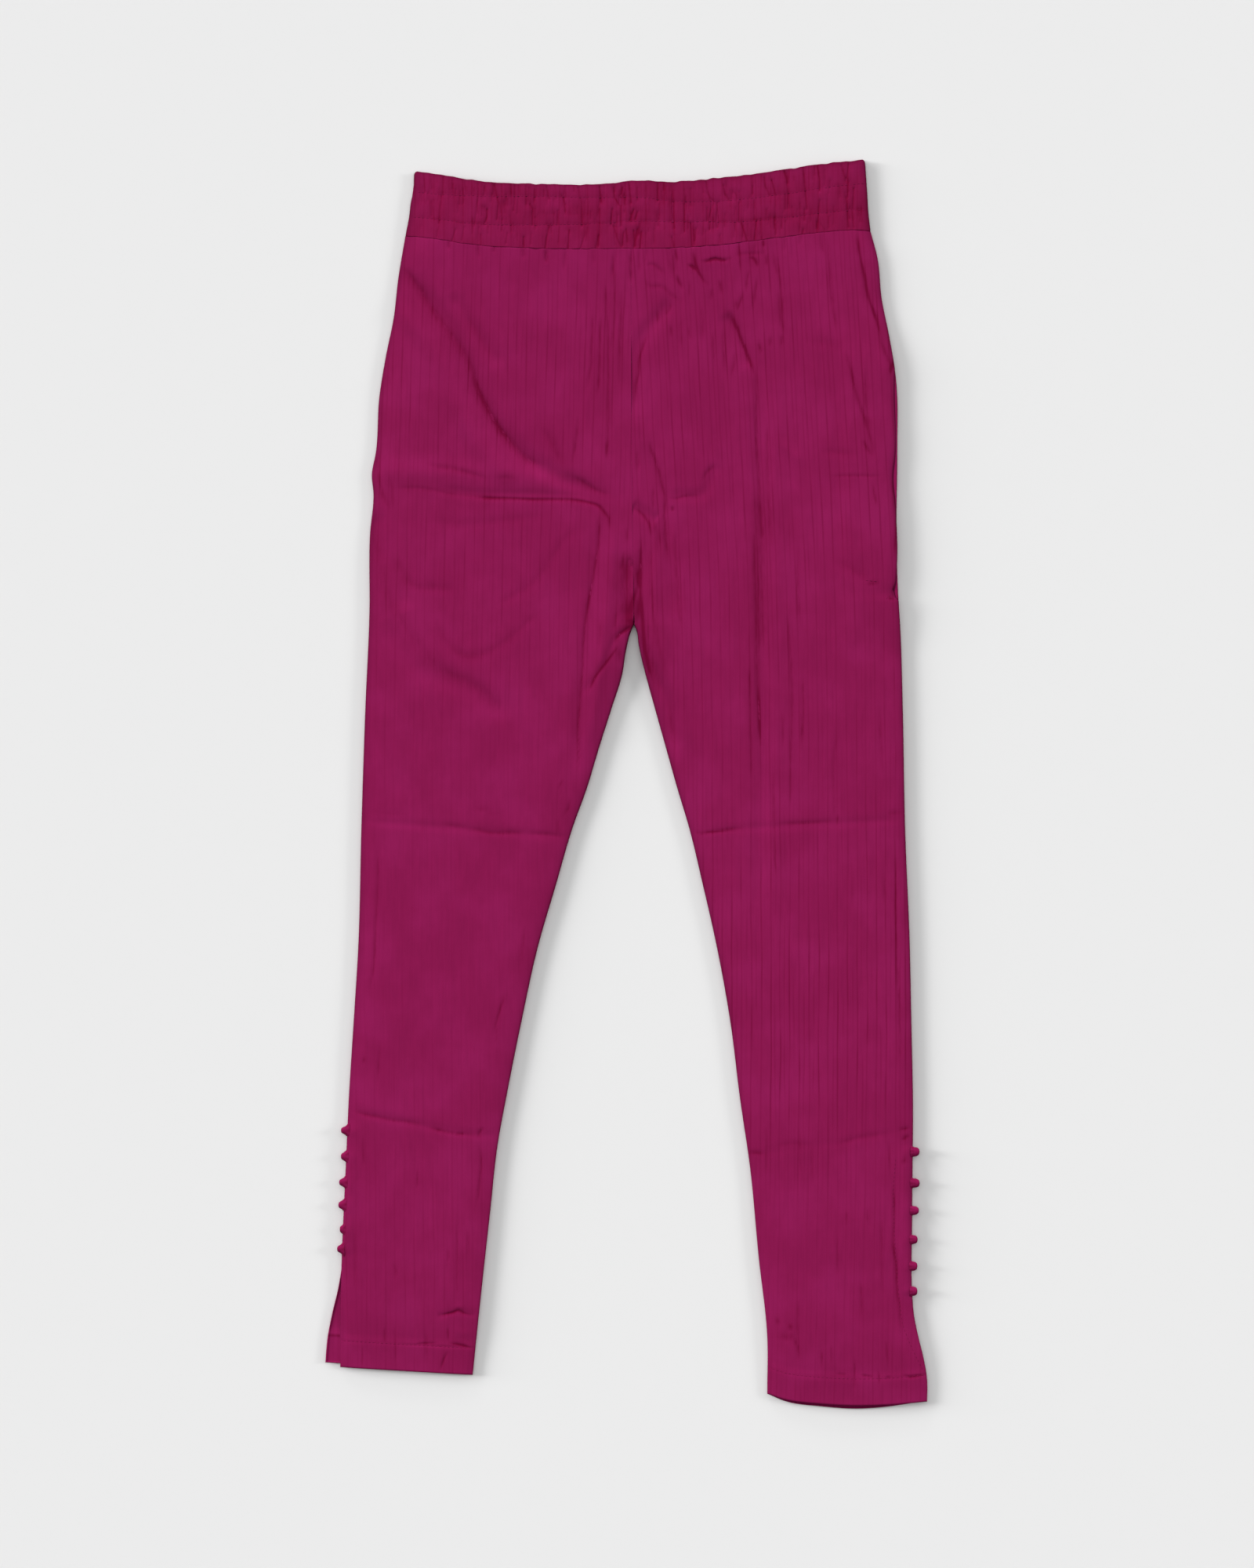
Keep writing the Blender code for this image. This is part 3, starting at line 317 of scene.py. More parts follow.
RIGHT_CREASES = CROTCH_CREASES + creases(
    (-0.6, 0.8, 1.2, 0.9, (182, 440), (184.5, 420), (188, 403), (192, 384), (197.5, 368),
     (203, 349)),
    (-0.5, 0.9, 1.3, 0.50, (199, 357), (205, 341), (212, 325)),
    (-0.35, 0.9, 1.5, 0.62, (172, 345), (177, 330), (181, 312), (187, 293), (192, 277), (197, 257)),
    (-0.3, 0.9, 1.1, 0.50, (189, 330), (190, 298), (193, 274)),
    (-0.25, 0.9, 1.0, 0.36, (111.6, 290), (111.6, 248), (112.8, 223), (114.7, 186)),
    (-0.35, 2.0, 2.0, 0.26, (19, 190), (20, 150), (25, 112), (33, 80)),
    (-0.22, 1.0, 1.0, 0.36, (136, 192), (136, 149), (138, 121)),
    (-0.2, 1.0, 1.2, 0.32, (139, 90), (140, 50), (139, 30)),
    (-0.22, 1.0, 1.2, 0.36, (200, 63), (201, 40), (203, 5)),
    (-0.2, 1.2, 1.2, 0.28, (167, 44), (164, 20), (165, -30)),
    (-0.25, 1.0, 1.0, 0.46, (159, 434), (162, 388), (167, 352)),
    (-0.24, 0.9, 0.9, 0.44, (119, 420), (124, 372), (125, 347)),
    (0.35, 4.0, 4.0, 0.0, (116, 276), (130, 262), (146, 250)),
    (0.30, 4.0, 4.0, 0.0, (128, 242), (140, 222), (148, 200)),
    (0.30, 4.0, 4.0, 0.0, (168, 214), (176, 190), (190, 170)),
    (-0.3, 3.0, 3.0, 0.18, (150, 262), (166, 262), (186, 258)),
    (-0.3, 3.0, 3.4, 0.20, (164, 180), (180, 168), (196, 160)),
    (-0.3, 4.0, 4.0, 0.20, (140, 350), (160, 348), (176, 340)),
    (-0.6, 0.9, 1.2, 1.1, (55, 425.5), (54, 418.5), (55, 410.5), (57, 405), (59.5, 400.5),
     (63, 396), (67.5, 392.5)),
    (-0.25, 0.7, 0.8, 0.5, (67.5, 393), (67.5, 387), (66.5, 380.5)),
    (-0.6, 0.9, 1.2, 1.1, (47.5, 411), (52.5, 408.5), (57, 405)),
    (-0.8, 0.9, 1.5, 1.2, (57, 413.5), (62.5, 413), (70, 415), (78, 414), (85, 416.5)),
    (-0.25, 1.4, 1.8, 0.28, (84.5, 416.5), (90.5, 418.5), (98.5, 419), (112, 419)),
    (-0.4, 0.8, 1.0, 0.85, (96, 415.5), (100, 415.5), (102.5, 412.5), (103.5, 406.5)),
    (-0.3, 0.8, 0.9, 0.6, (38, 426.5), (39.5, 418.5), (41, 410.5)),
    (-0.4, 1.2, 1.5, 0.6, (39, 404), (42, 396), (46, 390)),
    (-0.3, 1.4, 1.6, 0.34, (13.5, 408.5), (21, 410.5), (26.5, 406.5), (32, 400.5)),
    (-0.3, 1.1, 1.5, 0.42, (13, 399.5), (19, 393.5), (28.5, 393), (34.5, 387.5), (41, 383),
     (47.5, 377.5)),
    (-0.2, 0.7, 0.7, 0.36, (50, 399.5), (50, 382)),
    (-0.35, 0.9, 1.1, 0.6, (73, 399.5), (75, 392), (75.5, 385.5)),
    (-0.3, 0.8, 1.0, 0.55, (98, 408), (95.5, 399.5), (95.5, 387)),
    (-0.3, 0.8, 1.0, 0.62, (93, 390.5), (90, 380.5), (86, 371.5)),
    (-0.2, 0.6, 0.7, 0.45, (88, 383), (85, 374.5)),
    (-0.3, 0.8, 1.0, 0.55, (104, 404), (102.5, 393), (101, 381.5), (101, 372)),
    (-0.3, 1.6, 2.0, 0.3, (77.5, 380), (80.5, 371), (84, 363.5), (87, 355)),
    (-0.5, 0.7, 1.1, 1.05, (80.5, 376), (83.5, 369), (87.4, 361), (91.8, 349), (95.5, 340),
     (99.2, 330.5), (103, 320)),
    (-0.25, 0.7, 0.8, 0.5, (119.5, 392), (121, 379.5), (122, 369), (123.5, 352)),
    (-0.25, 0.7, 0.8, 0.48, (68, 361), (69, 344), (70, 323.5)),
    (-0.25, 0.7, 0.9, 0.48, (76.5, 363.5), (77, 347), (77.5, 321)),
    (-0.3, 0.9, 1.1, 0.5, (86, 343.5), (84.5, 328.5), (82.5, 320)),
    (-0.25, 0.9, 1.1, 0.45, (25.5, 375.5), (25, 369), (26, 363.5)),
    (-0.4, 0.9, 1.4, 0.62, (20, 359), (17.5, 356.5), (15, 350.5), (12.5, 343), (10.5, 335),
     (10, 325.5), (8, 315), (7.5, 297.5)),
    (-0.25, 0.9, 1.0, 0.4, (34.5, 382), (34, 374), (28.5, 371.5)),
    (-0.2, 0.7, 0.8, 0.36, (43, 372), (43, 352), (44, 342)),
    (-0.2, 0.7, 0.8, 0.45, (34.5, 363.5), (36, 352)),
    (-0.2, 0.7, 0.7, 0.36, (49, 363.5), (51, 349.5)),
    (-0.2, 0.7, 0.8, 0.34, (57.5, 382), (60, 372), (60, 347)),
    (-0.4, 0.8, 1.0, 0.7, (5.5, 425.5), (3, 418.5), (2.5, 404)),
    (-0.25, 0.8, 0.9, 0.45, (89.5, 430.5), (90, 415.5), (90.5, 402)),
    (-0.3, 0.7, 0.8, 0.7, (108, 432), (109, 423)),
    (-0.2, 0.7, 0.7, 0.45, (110.5, 419.5), (111, 408)),
    (-0.25, 0.7, 0.8, 0.45, (115.5, 424), (118, 409), (119, 398.5)),
    (-0.3, 0.8, 0.9, 0.6, (104, 351), (106, 343.5), (108, 338.5)),
    (-0.3, 0.8, 0.8, 0.55, (114, 354.5), (114, 344.5)),
    (-0.3, 0.8, 0.8, 0.5, (123, 357), (123, 343.5)),
    (-0.3, 0.9, 1.3, 0.65, (2.5, 219.5), (7, 217.5), (11, 215), (14.5, 211.5), (18, 205.5),
     (20.5, 192)),
    (-0.35, 1.8, 2.2, 0.36, (19, 214.5), (22.5, 206), (25, 197), (26, 178.5)),
    (-0.5, 1.0, 1.2, 0.62, (15.5, 275.5), (21, 260.5), (25.5, 248), (28.5, 235.5), (30.5, 227),
     (30.5, 211), (31.5, 192), (34, 172.5)),
    (-0.3, 0.8, 0.8, 0.6, (36.5, 220.5), (36.5, 214.5)),
    (-0.35, 1.0, 1.4, 0.45, (38, 201), (39, 180), (40.5, 161), (41.5, 142.5), (44, 120.5)),
    (-0.3, 0.9, 1.4, 0.85, (12, 196), (11.6, 185), (11.3, 173.5), (11.3, 155), (11.8, 145),
     (12.8, 133.5), (13.8, 118), (15.2, 105), (18.0, 92), (22, 78)),
    (-0.4, 2.6, 3.2, 0.36, (13.5, 136), (15.5, 116), (18.5, 100), (23, 86), (29, 68)),
    (-0.3, 1.0, 1.4, 0.4, (33, 70.5), (36, 46.5), (39, 26)),
    (-0.25, 1.3, 1.4, 0.36, (9.5, 265.5), (9.5, 245.5)),
    (-0.25, 0.9, 0.9, 0.5, (3, 244.5), (3, 234.5)),
    (-0.2, 0.6, 0.7, 0.4, (21.5, 237), (21.5, 214.5)),
    (-0.2, 0.9, 1.2, 0.45, (31, 227), (39, 225.5), (44.5, 227), (60, 228)),
    (-0.35, 1.2, 1.4, 0.38, (60, 238), (64.5, 247), (71.5, 252.5)),
    (-0.3, 0.8, 1.1, 0.48, (102.3, 330), (102.9, 310), (102.9, 279), (104.2, 254), (105.4, 235.6),
     (106, 217), (107.3, 198.4), (107.9, 184)),
    (-0.3, 0.8, 1.2, 0.48, (101.1, 202), (101.4, 185), (101.7, 170.5), (102.3, 155), (102.9, 124),
     (103.5, 93), (104.8, 62), (106, 31)),
    (-0.25, 4.4, 4.6, 0.30, (104.8, 232), (105.6, 192), (105.8, 170), (106.4, 140), (106.6, 100)),
    (-0.3, 0.9, 1.1, 0.45, (97.5, 95.5), (98, 74.5), (98.5, 37), (99, 1)),
    (-0.3, 0.9, 1.1, 0.48, (103.5, 82), (105, 56), (106.5, 26)),
    (-0.25, 0.8, 1.0, 0.42, (127, 137.5), (129.5, 105.5), (131, 80.5), (131, 56), (130, 25),
     (130, -20)),
    (-0.2, 0.7, 0.8, 0.34, (123.5, 63), (124, 23.5)),
    (-0.2, 0.7, 0.8, 0.34, (138.5, 63), (139, 23.5)),
    (-0.5, 0.9, 1.3, 0.85, (52, -34.5), (56.5, -38.5), (65.5, -38), (81, -36), (95, -34.5)),
    (-0.3, 0.9, 1.2, 0.42, (117, -31.5), (143, -30.5), (168, -29)),
    (-0.2, 0.7, 0.7, 0.5, (167, -23.5), (167, -33.5)),
    (-0.2, 1.6, 1.8, 0.24, (204, -23), (221.5, -23)),
    (-0.25, 0.8, 1.0, 0.4, (116, 13.5), (117, -37), (118.5, -77)),
    (-0.2, 1.4, 1.6, 0.24, (203.5, -65.5), (205, -100.5)),
    (-0.25, 0.8, 1.2, 0.36, (213.5, -53.5), (213.5, -124), (216, -173.5), (217, -225.5)),
    (-0.3, 1.6, 1.8, 0.55, (93.5, -291.5), (101, -291.5), (111, -292.5)),
    (-0.2, 1.8, 2.0, 0.2, (113.5, -286.5), (131, -284), (149.5, -285)),
    (-0.2, 2.0, 2.4, 0.2, (162, -286.5), (186.5, -279), (211.5, -276.5)),
    (-0.35, 1.0, 1.4, 0.6, (214.5, -273.5), (225.5, -271.5)),
    (-0.4, 0.9, 1.1, 0.8, (216.5, -281.5), (220.5, -279.5), (225.5, -278)),
    (-0.4, 0.9, 1.2, 0.65, (225.5, -295), (220.5, -297), (216.5, -302)),
    (-0.3, 0.9, 1.3, 0.48, (211.5, -311), (212, -335), (212, -344.5), (211, -362.5),
     (213.5, -379.5), (214, -397), (216, -411.5), (217.5, -435)),
    (-0.2, 1.2, 1.6, 0.3, (211, -359.5), (213.5, -379.5), (214.5, -403)),
    (-0.2, 0.7, 0.9, 0.4, (202, -340), (202, -372), (202.5, -405.5)),
    (-0.2, 0.7, 0.8, 0.34, (207.5, -278), (208.5, -311)),
    (-0.2, 0.9, 1.0, 0.36, (167, -351), (167.5, -393)),
    (-0.2, 0.8, 0.9, 0.42, (185.5, -389.5), (186.5, -424)),
    (-0.2, 0.9, 0.9, 0.5, (191, -337.5), (191, -346)),
    (-0.2, 0.8, 0.8, 0.4, (174, -336), (174, -348.5)),
    (-0.2, 0.8, 0.9, 0.34, (111, -265.5), (111, -312.5)),
    (-0.2, 1.0, 1.1, 0.28, (136.5, -265.5), (138.5, -312.5)),
    (-0.2, 1.0, 1.1, 0.26, (147, -278), (147, -318.5)),
    (-0.2, 0.7, 0.8, 0.32, (136, -402), (136.5, -460)),
    (-0.3, 1.0, 1.2, 0.4, (116, -425.5), (123, -423.5)),
    (-0.35, 0.9, 1.2, 0.6, (126, -426.5), (131, -429.5), (136.5, -432)),
    (-0.3, 1.0, 1.3, 0.45, (114.5, -436), (121.5, -437), (130, -436.5), (135, -442.5),
     (137.5, -457.5)),
    (-0.2, 0.8, 0.9, 0.5, (155, -444), (154.5, -464)),
    (-0.2, 0.7, 0.8, 0.34, (162, -441.5), (162.5, -460)),
    (-0.3, 0.7, 0.8, 0.55, (180.5, -452.5), (181, -480)),
    (-0.25, 0.7, 0.8, 0.5, (199.5, -462.5), (200.5, -476)),
    (-0.2, 0.8, 1.0, 0.4, (205, -436.5), (207.5, -462.5)),
    (-0.2, 0.9, 1.0, 0.3, (164.5, -466), (175.5, -467)),
    (-0.3, 0.8, 1.0, 0.5, (184, -467), (196.5, -468.5)),
    (-0.3, 0.8, 1.0, 0.6, (204.5, -469.5), (210, -468.5)),
    (-0.4, 0.9, 1.1, 0.75, (217, -466), (224, -468.5), (230, -468), (238, -467)),
    (-0.3, 0.9, 1.1, 0.55, (189, 158), (202, 160)),
    (-0.4, 0.8, 1.0, 0.8, (206.5, 145.5), (212, 148)),
    (-0.3, 0.6, 0.9, 0.7, (210, 247), (211.5, 232), (213.5, 217), (212.5, 186), (212, 172.5)),
    (-0.6, 0.9, 1.4, 1.1, (214, 340), (211.5, 332.5), (209.5, 326), (212.5, 322.5)),
    (-0.25, 1.0, 1.2, 0.34, (158.5, 243), (174, 243.5), (205, 243)),
    (-0.3, 0.8, 1.0, 0.55, (194, 240.5), (196.5, 227), (199, 217)),
    (-0.35, 0.9, 1.2, 0.6, (186.5, 274), (191.5, 263.5), (196.5, 258)),
)

# Form of a crease across its path, of the painted shade in it and of its halo of painted shade
# round it, how it fades out and wavers, and its least half width
CREASE_POWER = 1.6
SHADE_POWER = 1.8
SHADE_HALO = 0.24
SHADE_HALO_WIDTH = 2.8
CREASE_NEAR = 5
CREASE_FADE = 16.0
CREASE_FADE_SHARE = 0.4
CREASE_WAVER = 0.22
CREASE_WAVER_SPACING = (9.0, 9.0)
CREASE_SEED = 100
LEAST_CREASE = ((-490.0, 0.7), (-250.0, 0.8), (0.0, 0.9), (150.0, 0.95), (440.0, 1.1))

# Gathers that run on below the waist seam: position across, length and depth
SEAM_GATHERS = (
    (-140, 8, 0.45), (-117, 12, 0.45), (-104, 6, 0.3), (-81, 10, 0.6), (-63, 13, 0.8),
    (-48, 20, 0.4), (-26, 14, 0.35), (-9, 26, 0.5), (3, 30, 0.7), (10, 22, 0.4), (16, 16, 0.3),
    (34, 22, 0.4), (39, 28, 0.5), (89, 14, 0.35), (97, 24, 0.4), (102, 18, 0.45), (108, 18, 0.35),
    (125, 14, 0.35), (138, 10, 0.3), (154, 20, 0.35),
)
SEAM_GATHER_LEAN = 0.12
SEAM_GATHER_WIDTHS = (1.0, 1.4)
# Painted shade in the creases that the gathers pull below the waist seam
SEAM_GATHER_SHADE = 0.75

# Buttons: height up the cloth, and how far each stands out from the edge of the leg
Button = namedtuple("Button", "y reach")
LEFT_BUTTONS = (
    Button(-274.0, 5.0), Button(-294.5, 4.2), Button(-315.0, 4.7), Button(-332.9, 4.4),
    Button(-352.2, 2.4), Button(-367.7, 3.9),
)
RIGHT_BUTTONS = (
    Button(-290.8, 5.3), Button(-315.6, 5.7), Button(-337.3, 5.3), Button(-360.2, 4.5),
    Button(-381.3, 4.6), Button(-401.1, 4.2),
)

# Form of a button: its level, its foot, its pleats and lumps, its shade (a little darker all over,
# with painted shade darker in the pleats' valleys and towards the root where it meets the leg,
# and lighter on the pleats' crests), and its grid
BUTTON_HEIGHT = 2.9
BUTTON_HALF_HEIGHT = 2.2
BUTTON_ROOT = -2.2
BUTTON_PLEATS = 9
PLEAT_DEPTH = 0.14
LUMP_DEPTH = 0.12
BUTTON_SCALES = (0.93, 1.05)
BUTTON_SHADE = 0.22
PLEAT_SHADE = 2.5
ROOT_SHADE = 0.3
MOST_BUTTON_SHADE = 0.8
BUTTON_RINGS = 22
BUTTON_SIDES = 36
BUTTON_SEEDS = {"left": 300, "right": 350}
LUMP_SEED = 400
BUTTON_PROFILE = (
    # share of the way from the tip to the root, radius, what a full flare adds to it
    (0.0, 0.0, 0.0), (0.03, 1.5, -0.3), (0.10, 2.5, -0.5), (0.22, 3.2, -0.6), (0.36, 3.6, -0.5),
    (0.52, 3.7, 0.1), (0.68, 3.8, 1.2), (0.82, 4.1, 2.2), (1.0, 4.4, 3.0),
)

# Bumps in the front beside the buttons
SEAT_INSET = 4.5
SEAT_HEIGHT = 0.45
SEAT_RADIUS = 3.2

# Cloth of the shells: thickness of one layer and of a turned hem, radii of rolled edges, and
# how fine the grids are
CLOTH = 0.5
HEM_CLOTH = 1.15
EDGE_ROLL = 1.25
SEAM_ROLL = 0.3
CENTRE_ROLL = 0.12
INNER_ROLL_FADE = 12.0
FACING_EDGE = 1.0
FACING_ROLL = 0.6
SEAM_SLIT = 0.02
ROLL_STEPS = 4
COARSE_STEP = 4
FACING_ROWS = 92
FACING_COLUMNS = 16

# How the fronts lie: pressed flat at the hem and hip, bunched at the crotch, level with the
# waistband at the waist seam
HEM_PRESS = 0.9
HEM_PRESS_REACH = 45.0
HEM_SOFTEN = 5.0
HIP_PRESS = 0.7
HIP_PRESS_REACH = 12.0
HIP_FOOT = 150.0
HIP_FADE = 150.0
CROTCH_RISE = 2.2
CROTCH_RISE_REACH = 36.0
CROTCH_RISE_BELOW = 14.0
SEAM_BLEND_REACH = 16.0
SEAM_CROWN_REACH = 60.0
SEAM_STEP = 0.3
EDGE_FOOT = 2.05
POCKET_SOFTEN = 45.0

# How the backs lie under them
BACK_WAVE = 0.12
BACK_WAVE_SPACING = (30.0, 45.0)
BACK_FOLD_SHARE = 0.35
DEEPEST_DENT = 0.8

# Groove of the hem's stitches, and the painted shade in it
HEM_STITCH_INSET = 1.5
FRONT_GROOVE_WIDTH = 0.9
BACK_GROOVE_WIDTH = 0.8
GROOVE_STRENGTH = 0.55
GROOVE_UNEVENNESS = 0.6
GROOVE_DEPTH = 0.25
GROOVE_SHADE = 0.16
# Painted shade along the backs' hem stitch line, where the turned hem's edge shows on the flap
BACK_GROOVE_SHADE = 0.9
GROOVE_WAVER_SPACING = (22.0, 22.0)

# Painted shade along the rim of the silhouette, where the cloth turns away: how dark it is up
# the legs, and how far in it reaches
RIM_SHADE_DARKNESS = 0.52
LEG_RIM_SHADE = ((-490.0, 0.15), (-290.0, 0.30), (-200.0, 0.65), (0.0, 0.8), (490.0, 0.8))
RIM_SHADE_REACH = 1.9
BAND_RIM_SHADE_REACH = 1.1
BAND_END_RIM_SHADE_REACH = 2.6
# Most painted shade on the legs and on the waistband
MOST_SHADE = 1.3
MOST_BAND_SHADE = 1.2

# How far the cloth's stripes drift sideways as they run up the leg, and how plain they are
LEFT_GRAIN = ((-480.0, 0.0), (120.0, 0.0), (280.0, 3.6), (440.0, 8.2))
RIGHT_GRAIN = (
    (-490.0, -3.0), (-250.0, 0.0), (-50.0, 0.0), (120.0, -1.5), (300.0, -9.5), (440.0, -18.5),
)
LEFT_STRIPES = (
    (-480.0, 0.42), (80.0, 0.36), (130.0, 0.5), (250.0, 0.58), (360.0, 0.7), (405.0, 0.5),
    (440.0, 0.4),
)
RIGHT_STRIPES = (
    (-490.0, 0.45), (-310.0, 0.45), (-270.0, 0.75), (-80.0, 0.75), (-20.0, 0.55), (130.0, 0.65),
    (250.0, 0.75), (360.0, 0.85), (440.0, 0.65),
)

# Unevenness of the lying cloth: height, distance between waves, seed
WAVES = ((0.11, 34.0, 1), (0.045, 12.0, 2))
WAVE_STRETCH = 1.4
STREAK_HEIGHT = 0.05
STREAK_SPACING = (2.4, 45.0)
PUCKER = 0.35
PUCKER_NOISE = ((5.0, 5.0), 77)

# Valleys of the waistband's gathers on its front: how deep each is, and the points of its path
Gather = namedtuple("Gather", "path strength")


def gathers(*rows):
    return tuple(Gather(row[1:], row[0]) for row in rows)


FRONT_GATHERS = gathers(
    (0.5, (-160, 482), (-159, 468)), (0.6, (-145, 479), (-145, 466)),
    (0.8, (-146, 465), (-147, 454), (-148, 443)), (0.4, (-137, 474), (-137, 467)),
    (0.4, (-128, 475), (-126, 466)), (0.55, (-117, 474), (-117, 464), (-118, 456), (-120, 441)),
    (0.4, (-112, 472), (-112, 465)), (0.8, (-104, 473), (-102, 464), (-101, 458), (-102, 446)),
    (0.4, (-91, 473), (-91, 464)), (0.75, (-88, 473), (-88, 464), (-89, 453)),
    (0.45, (-85, 473), (-85, 464), (-86, 450)), (0.5, (-79, 472), (-79, 458)),
    (0.5, (-65, 469), (-65, 464)), (0.7, (-63, 472), (-61, 462)), (0.5, (-51, 465), (-48, 458)),
    (0.5, (-48, 472), (-48, 463)), (0.7, (-38, 471), (-35, 458), (-35, 450), (-35, 441)),
    (0.9, (-21, 472), (-20, 460)), (0.9, (-10, 471), (-9, 463), (-6, 458)),
    (0.8, (-3, 471), (-4, 465)), (1.0, (2, 476), (4, 459)), (0.6, (9, 471), (9, 461)),
    (1.0, (25, 475), (25, 461)), (0.4, (31, 472), (32, 461)), (0.6, (36, 472), (37, 459)),
    (1.0, (37, 459), (37, 446), (38, 439)), (0.6, (46, 469), (47, 459)),
    (0.7, (51, 470), (51, 457)), (0.5, (59, 476), (61, 467)),
    (1.0, (63, 476), (65, 466), (68, 459)), (0.9, (77, 473), (78, 466), (81, 461)),
    (0.5, (86, 467), (88, 462)), (0.5, (100, 480), (100, 466)),
    (0.8, (109, 479), (110, 472), (113, 465)), (1.0, (115, 477), (118, 466)),
    (0.9, (125, 484), (127, 477), (128, 466), (128, 455)),
    (0.9, (140, 487), (141, 476), (142, 465), (143, 454)),
    (1.0, (151, 489), (153, 477), (153, 469)), (0.8, (170, 489), (174, 477)),
    (0.7, (176, 490), (174, 477)), (0.3, (-132, 458), (-133, 451)), (0.3, (-130, 458), (-129, 449)),
    (1.0, (-110, 454), (-110, 448), (-112, 442)), (0.9, (-76, 458), (-74, 454), (-74, 442)),
    (0.4, (-63, 450), (-63, 442)), (0.4, (-57, 451), (-57, 443)), (0.7, (-54, 453), (-54, 443)),
    (0.5, (-48, 458), (-48, 452)), (0.4, (-33, 451), (-35, 441)),
    (0.8, (-21, 454), (-21, 437), (-22, 425)), (1.0, (-11, 454), (-12, 442)),
    (1.0, (-4, 462), (-4, 450), (-4, 441)), (0.8, (4, 450), (4, 445)), (0.9, (6, 454), (3, 445)),
    (0.9, (9, 452), (7, 446)), (0.5, (26, 458), (26, 446)), (0.8, (46, 458), (46, 436)),
    (0.4, (51, 456), (51, 448)), (0.7, (64, 455), (64, 445)),
    (1.0, (68, 459), (66, 448), (66, 438)), (0.9, (72, 459), (72, 440)),
    (0.5, (78, 450), (78, 440)), (0.8, (89, 459), (89, 445)), (0.5, (101, 461), (101, 446)),
    (0.5, (111, 454), (111, 445)), (0.6, (118, 464), (118, 445)), (0.6, (126, 465), (126, 454)),
    (0.5, (131, 456), (132, 447)), (0.4, (135, 454), (135, 447)), (0.6, (141, 454), (141, 445)),
    (0.7, (153, 461), (152, 450), (151, 439)), (0.5, (164, 456), (164, 442)),
    (0.9, (174, 464), (175, 452), (176, 440)), (0.9, (180, 471), (179, 451), (180, 440)),
    (0.5, (184, 455), (184, 449)), (0.3, (-148, 441), (-150, 431)), (0.7, (-135, 438), (-138, 428)),
    (0.5, (-128, 440), (-130, 429)), (0.6, (-115, 434), (-115, 424)), (0.5, (-94, 435), (-95, 427)),
    (1.0, (-81, 432), (-81, 423)), (1.0, (-61, 440), (-63, 431), (-64, 422)),
    (0.8, (-45, 437), (-46, 423)), (0.6, (-33, 433), (-36, 423)), (0.7, (-22, 433), (-24, 423)),
    (0.8, (-10, 441), (-7, 431), (-4, 424)), (0.9, (-2, 436), (-3, 425)), (0.7, (0, 438), (1, 428)),
    (0.9, (6, 437), (7, 425)), (1.0, (9, 438), (6, 424)), (1.0, (12, 436), (11, 423)),
    (0.4, (22, 438), (22, 427)), (0.8, (36, 432), (38, 424)), (1.0, (51, 443), (52, 425)),
    (0.6, (54, 438), (54, 426)), (0.4, (63, 437), (63, 425)), (0.3, (74, 433), (75, 427)),
    (0.8, (91, 443), (96, 428)), (0.9, (103, 445), (102, 436), (101, 427)),
    (0.7, (107, 432), (108, 427)), (0.4, (118, 442), (118, 432)), (0.5, (126, 445), (126, 433)),
    (0.9, (140, 438), (139, 433)), (0.6, (151, 444), (151, 435)), (0.5, (154, 442), (157, 437)),
)

# Gathers placed with chance: in the back's three channels, and fine ones on both sides
BACK_GATHER_SPACING = 3.9
BACK_GATHER_STEPS = (0.4, 1.6)
BACK_GATHER_LEAN = 2.0
BACK_GATHER_STRENGTHS = (0.4, 1.0)
LEAST_CHANNEL_SHARE = 0.5
BACK_CHANNELS = ((0.0, 0.33), (0.33, 0.71), (0.71, 1.0))
FINE_GATHERS = 240
FINE_GATHER_LENGTHS = (5, 13)
FINE_GATHER_LEAN = 0.12
FINE_GATHER_STRENGTHS = (0.12, 0.5)
GATHER_SEED = 5

# Form of a gather: its valley and the hollow round it, as half width, depth and painted shade of
# each
GATHER_CORE = 0.62
GATHER_SPREAD = 3.0
GATHER_DEPTHS = (0.60, 0.32)
GATHER_SHADES = (0.66, 0.12)
GATHER_NEAR = 9.0
DEEPEST_GATHER = 1.1
GATHER_WAVER = 0.25
GATHER_WAVER_SEED = 200

# Puffs between the gathers, the dye's unevenness, and the noise of each: spacing and seed
PUFF = 0.18
PUFF_WAVE = 0.24
PUFF_NOISE = ((6.0, 16.0), 61)
BAND_SHADE = 0.12
BAND_SHADE_NOISE = ((16.0, 9.0), 62)
BAND_FLECKS = 0.05
BAND_FLECK_NOISE = ((5.0, 6.0), 65)

# The waistband's rows of stitches, as x and share of the band's height, and their grooves, with
# painted shade in and round each groove
LOWER_ROW = (
    (-167.0, 0.30), (-136.0, 0.32), (-80.0, 0.36), (63.0, 0.37), (94.0, 0.31), (125.0, 0.29),
    (185.0, 0.29),
)
UPPER_ROW = (
    (-155.0, 0.69), (-123.0, 0.76), (0.0, 0.77), (32.0, 0.72), (63.0, 0.67), (125.0, 0.64),
    (180.0, 0.66),
)
FAINT_ROW = 0.54
TOP_ROW = 0.87
ROW_DEPTHS = (0.17, 0.08, 0.05, 0.04)
ROW_WANDER = 0.4
ROW_NOISE = ((9.0, 9.0), 63)
ROW_STRENGTH = 0.6
ROW_UNEVENNESS = 1.5
MOST_ROW_STRENGTH = 1.6
ROW_BREAKS = ((6.0, 5.0), 64)
ROW_RELIEF = 0.5
ROW_SHADE_HALO = 0.4
ROW_GROOVE_WIDTH = 0.9
ROW_SHADE_HALO_WIDTH = 3.0

# Ruffled top edge of the waistband
TOP_RUFFLE = 0.55
TOP_RUFFLE_NOISE = ((5.0, 5.0), 91)
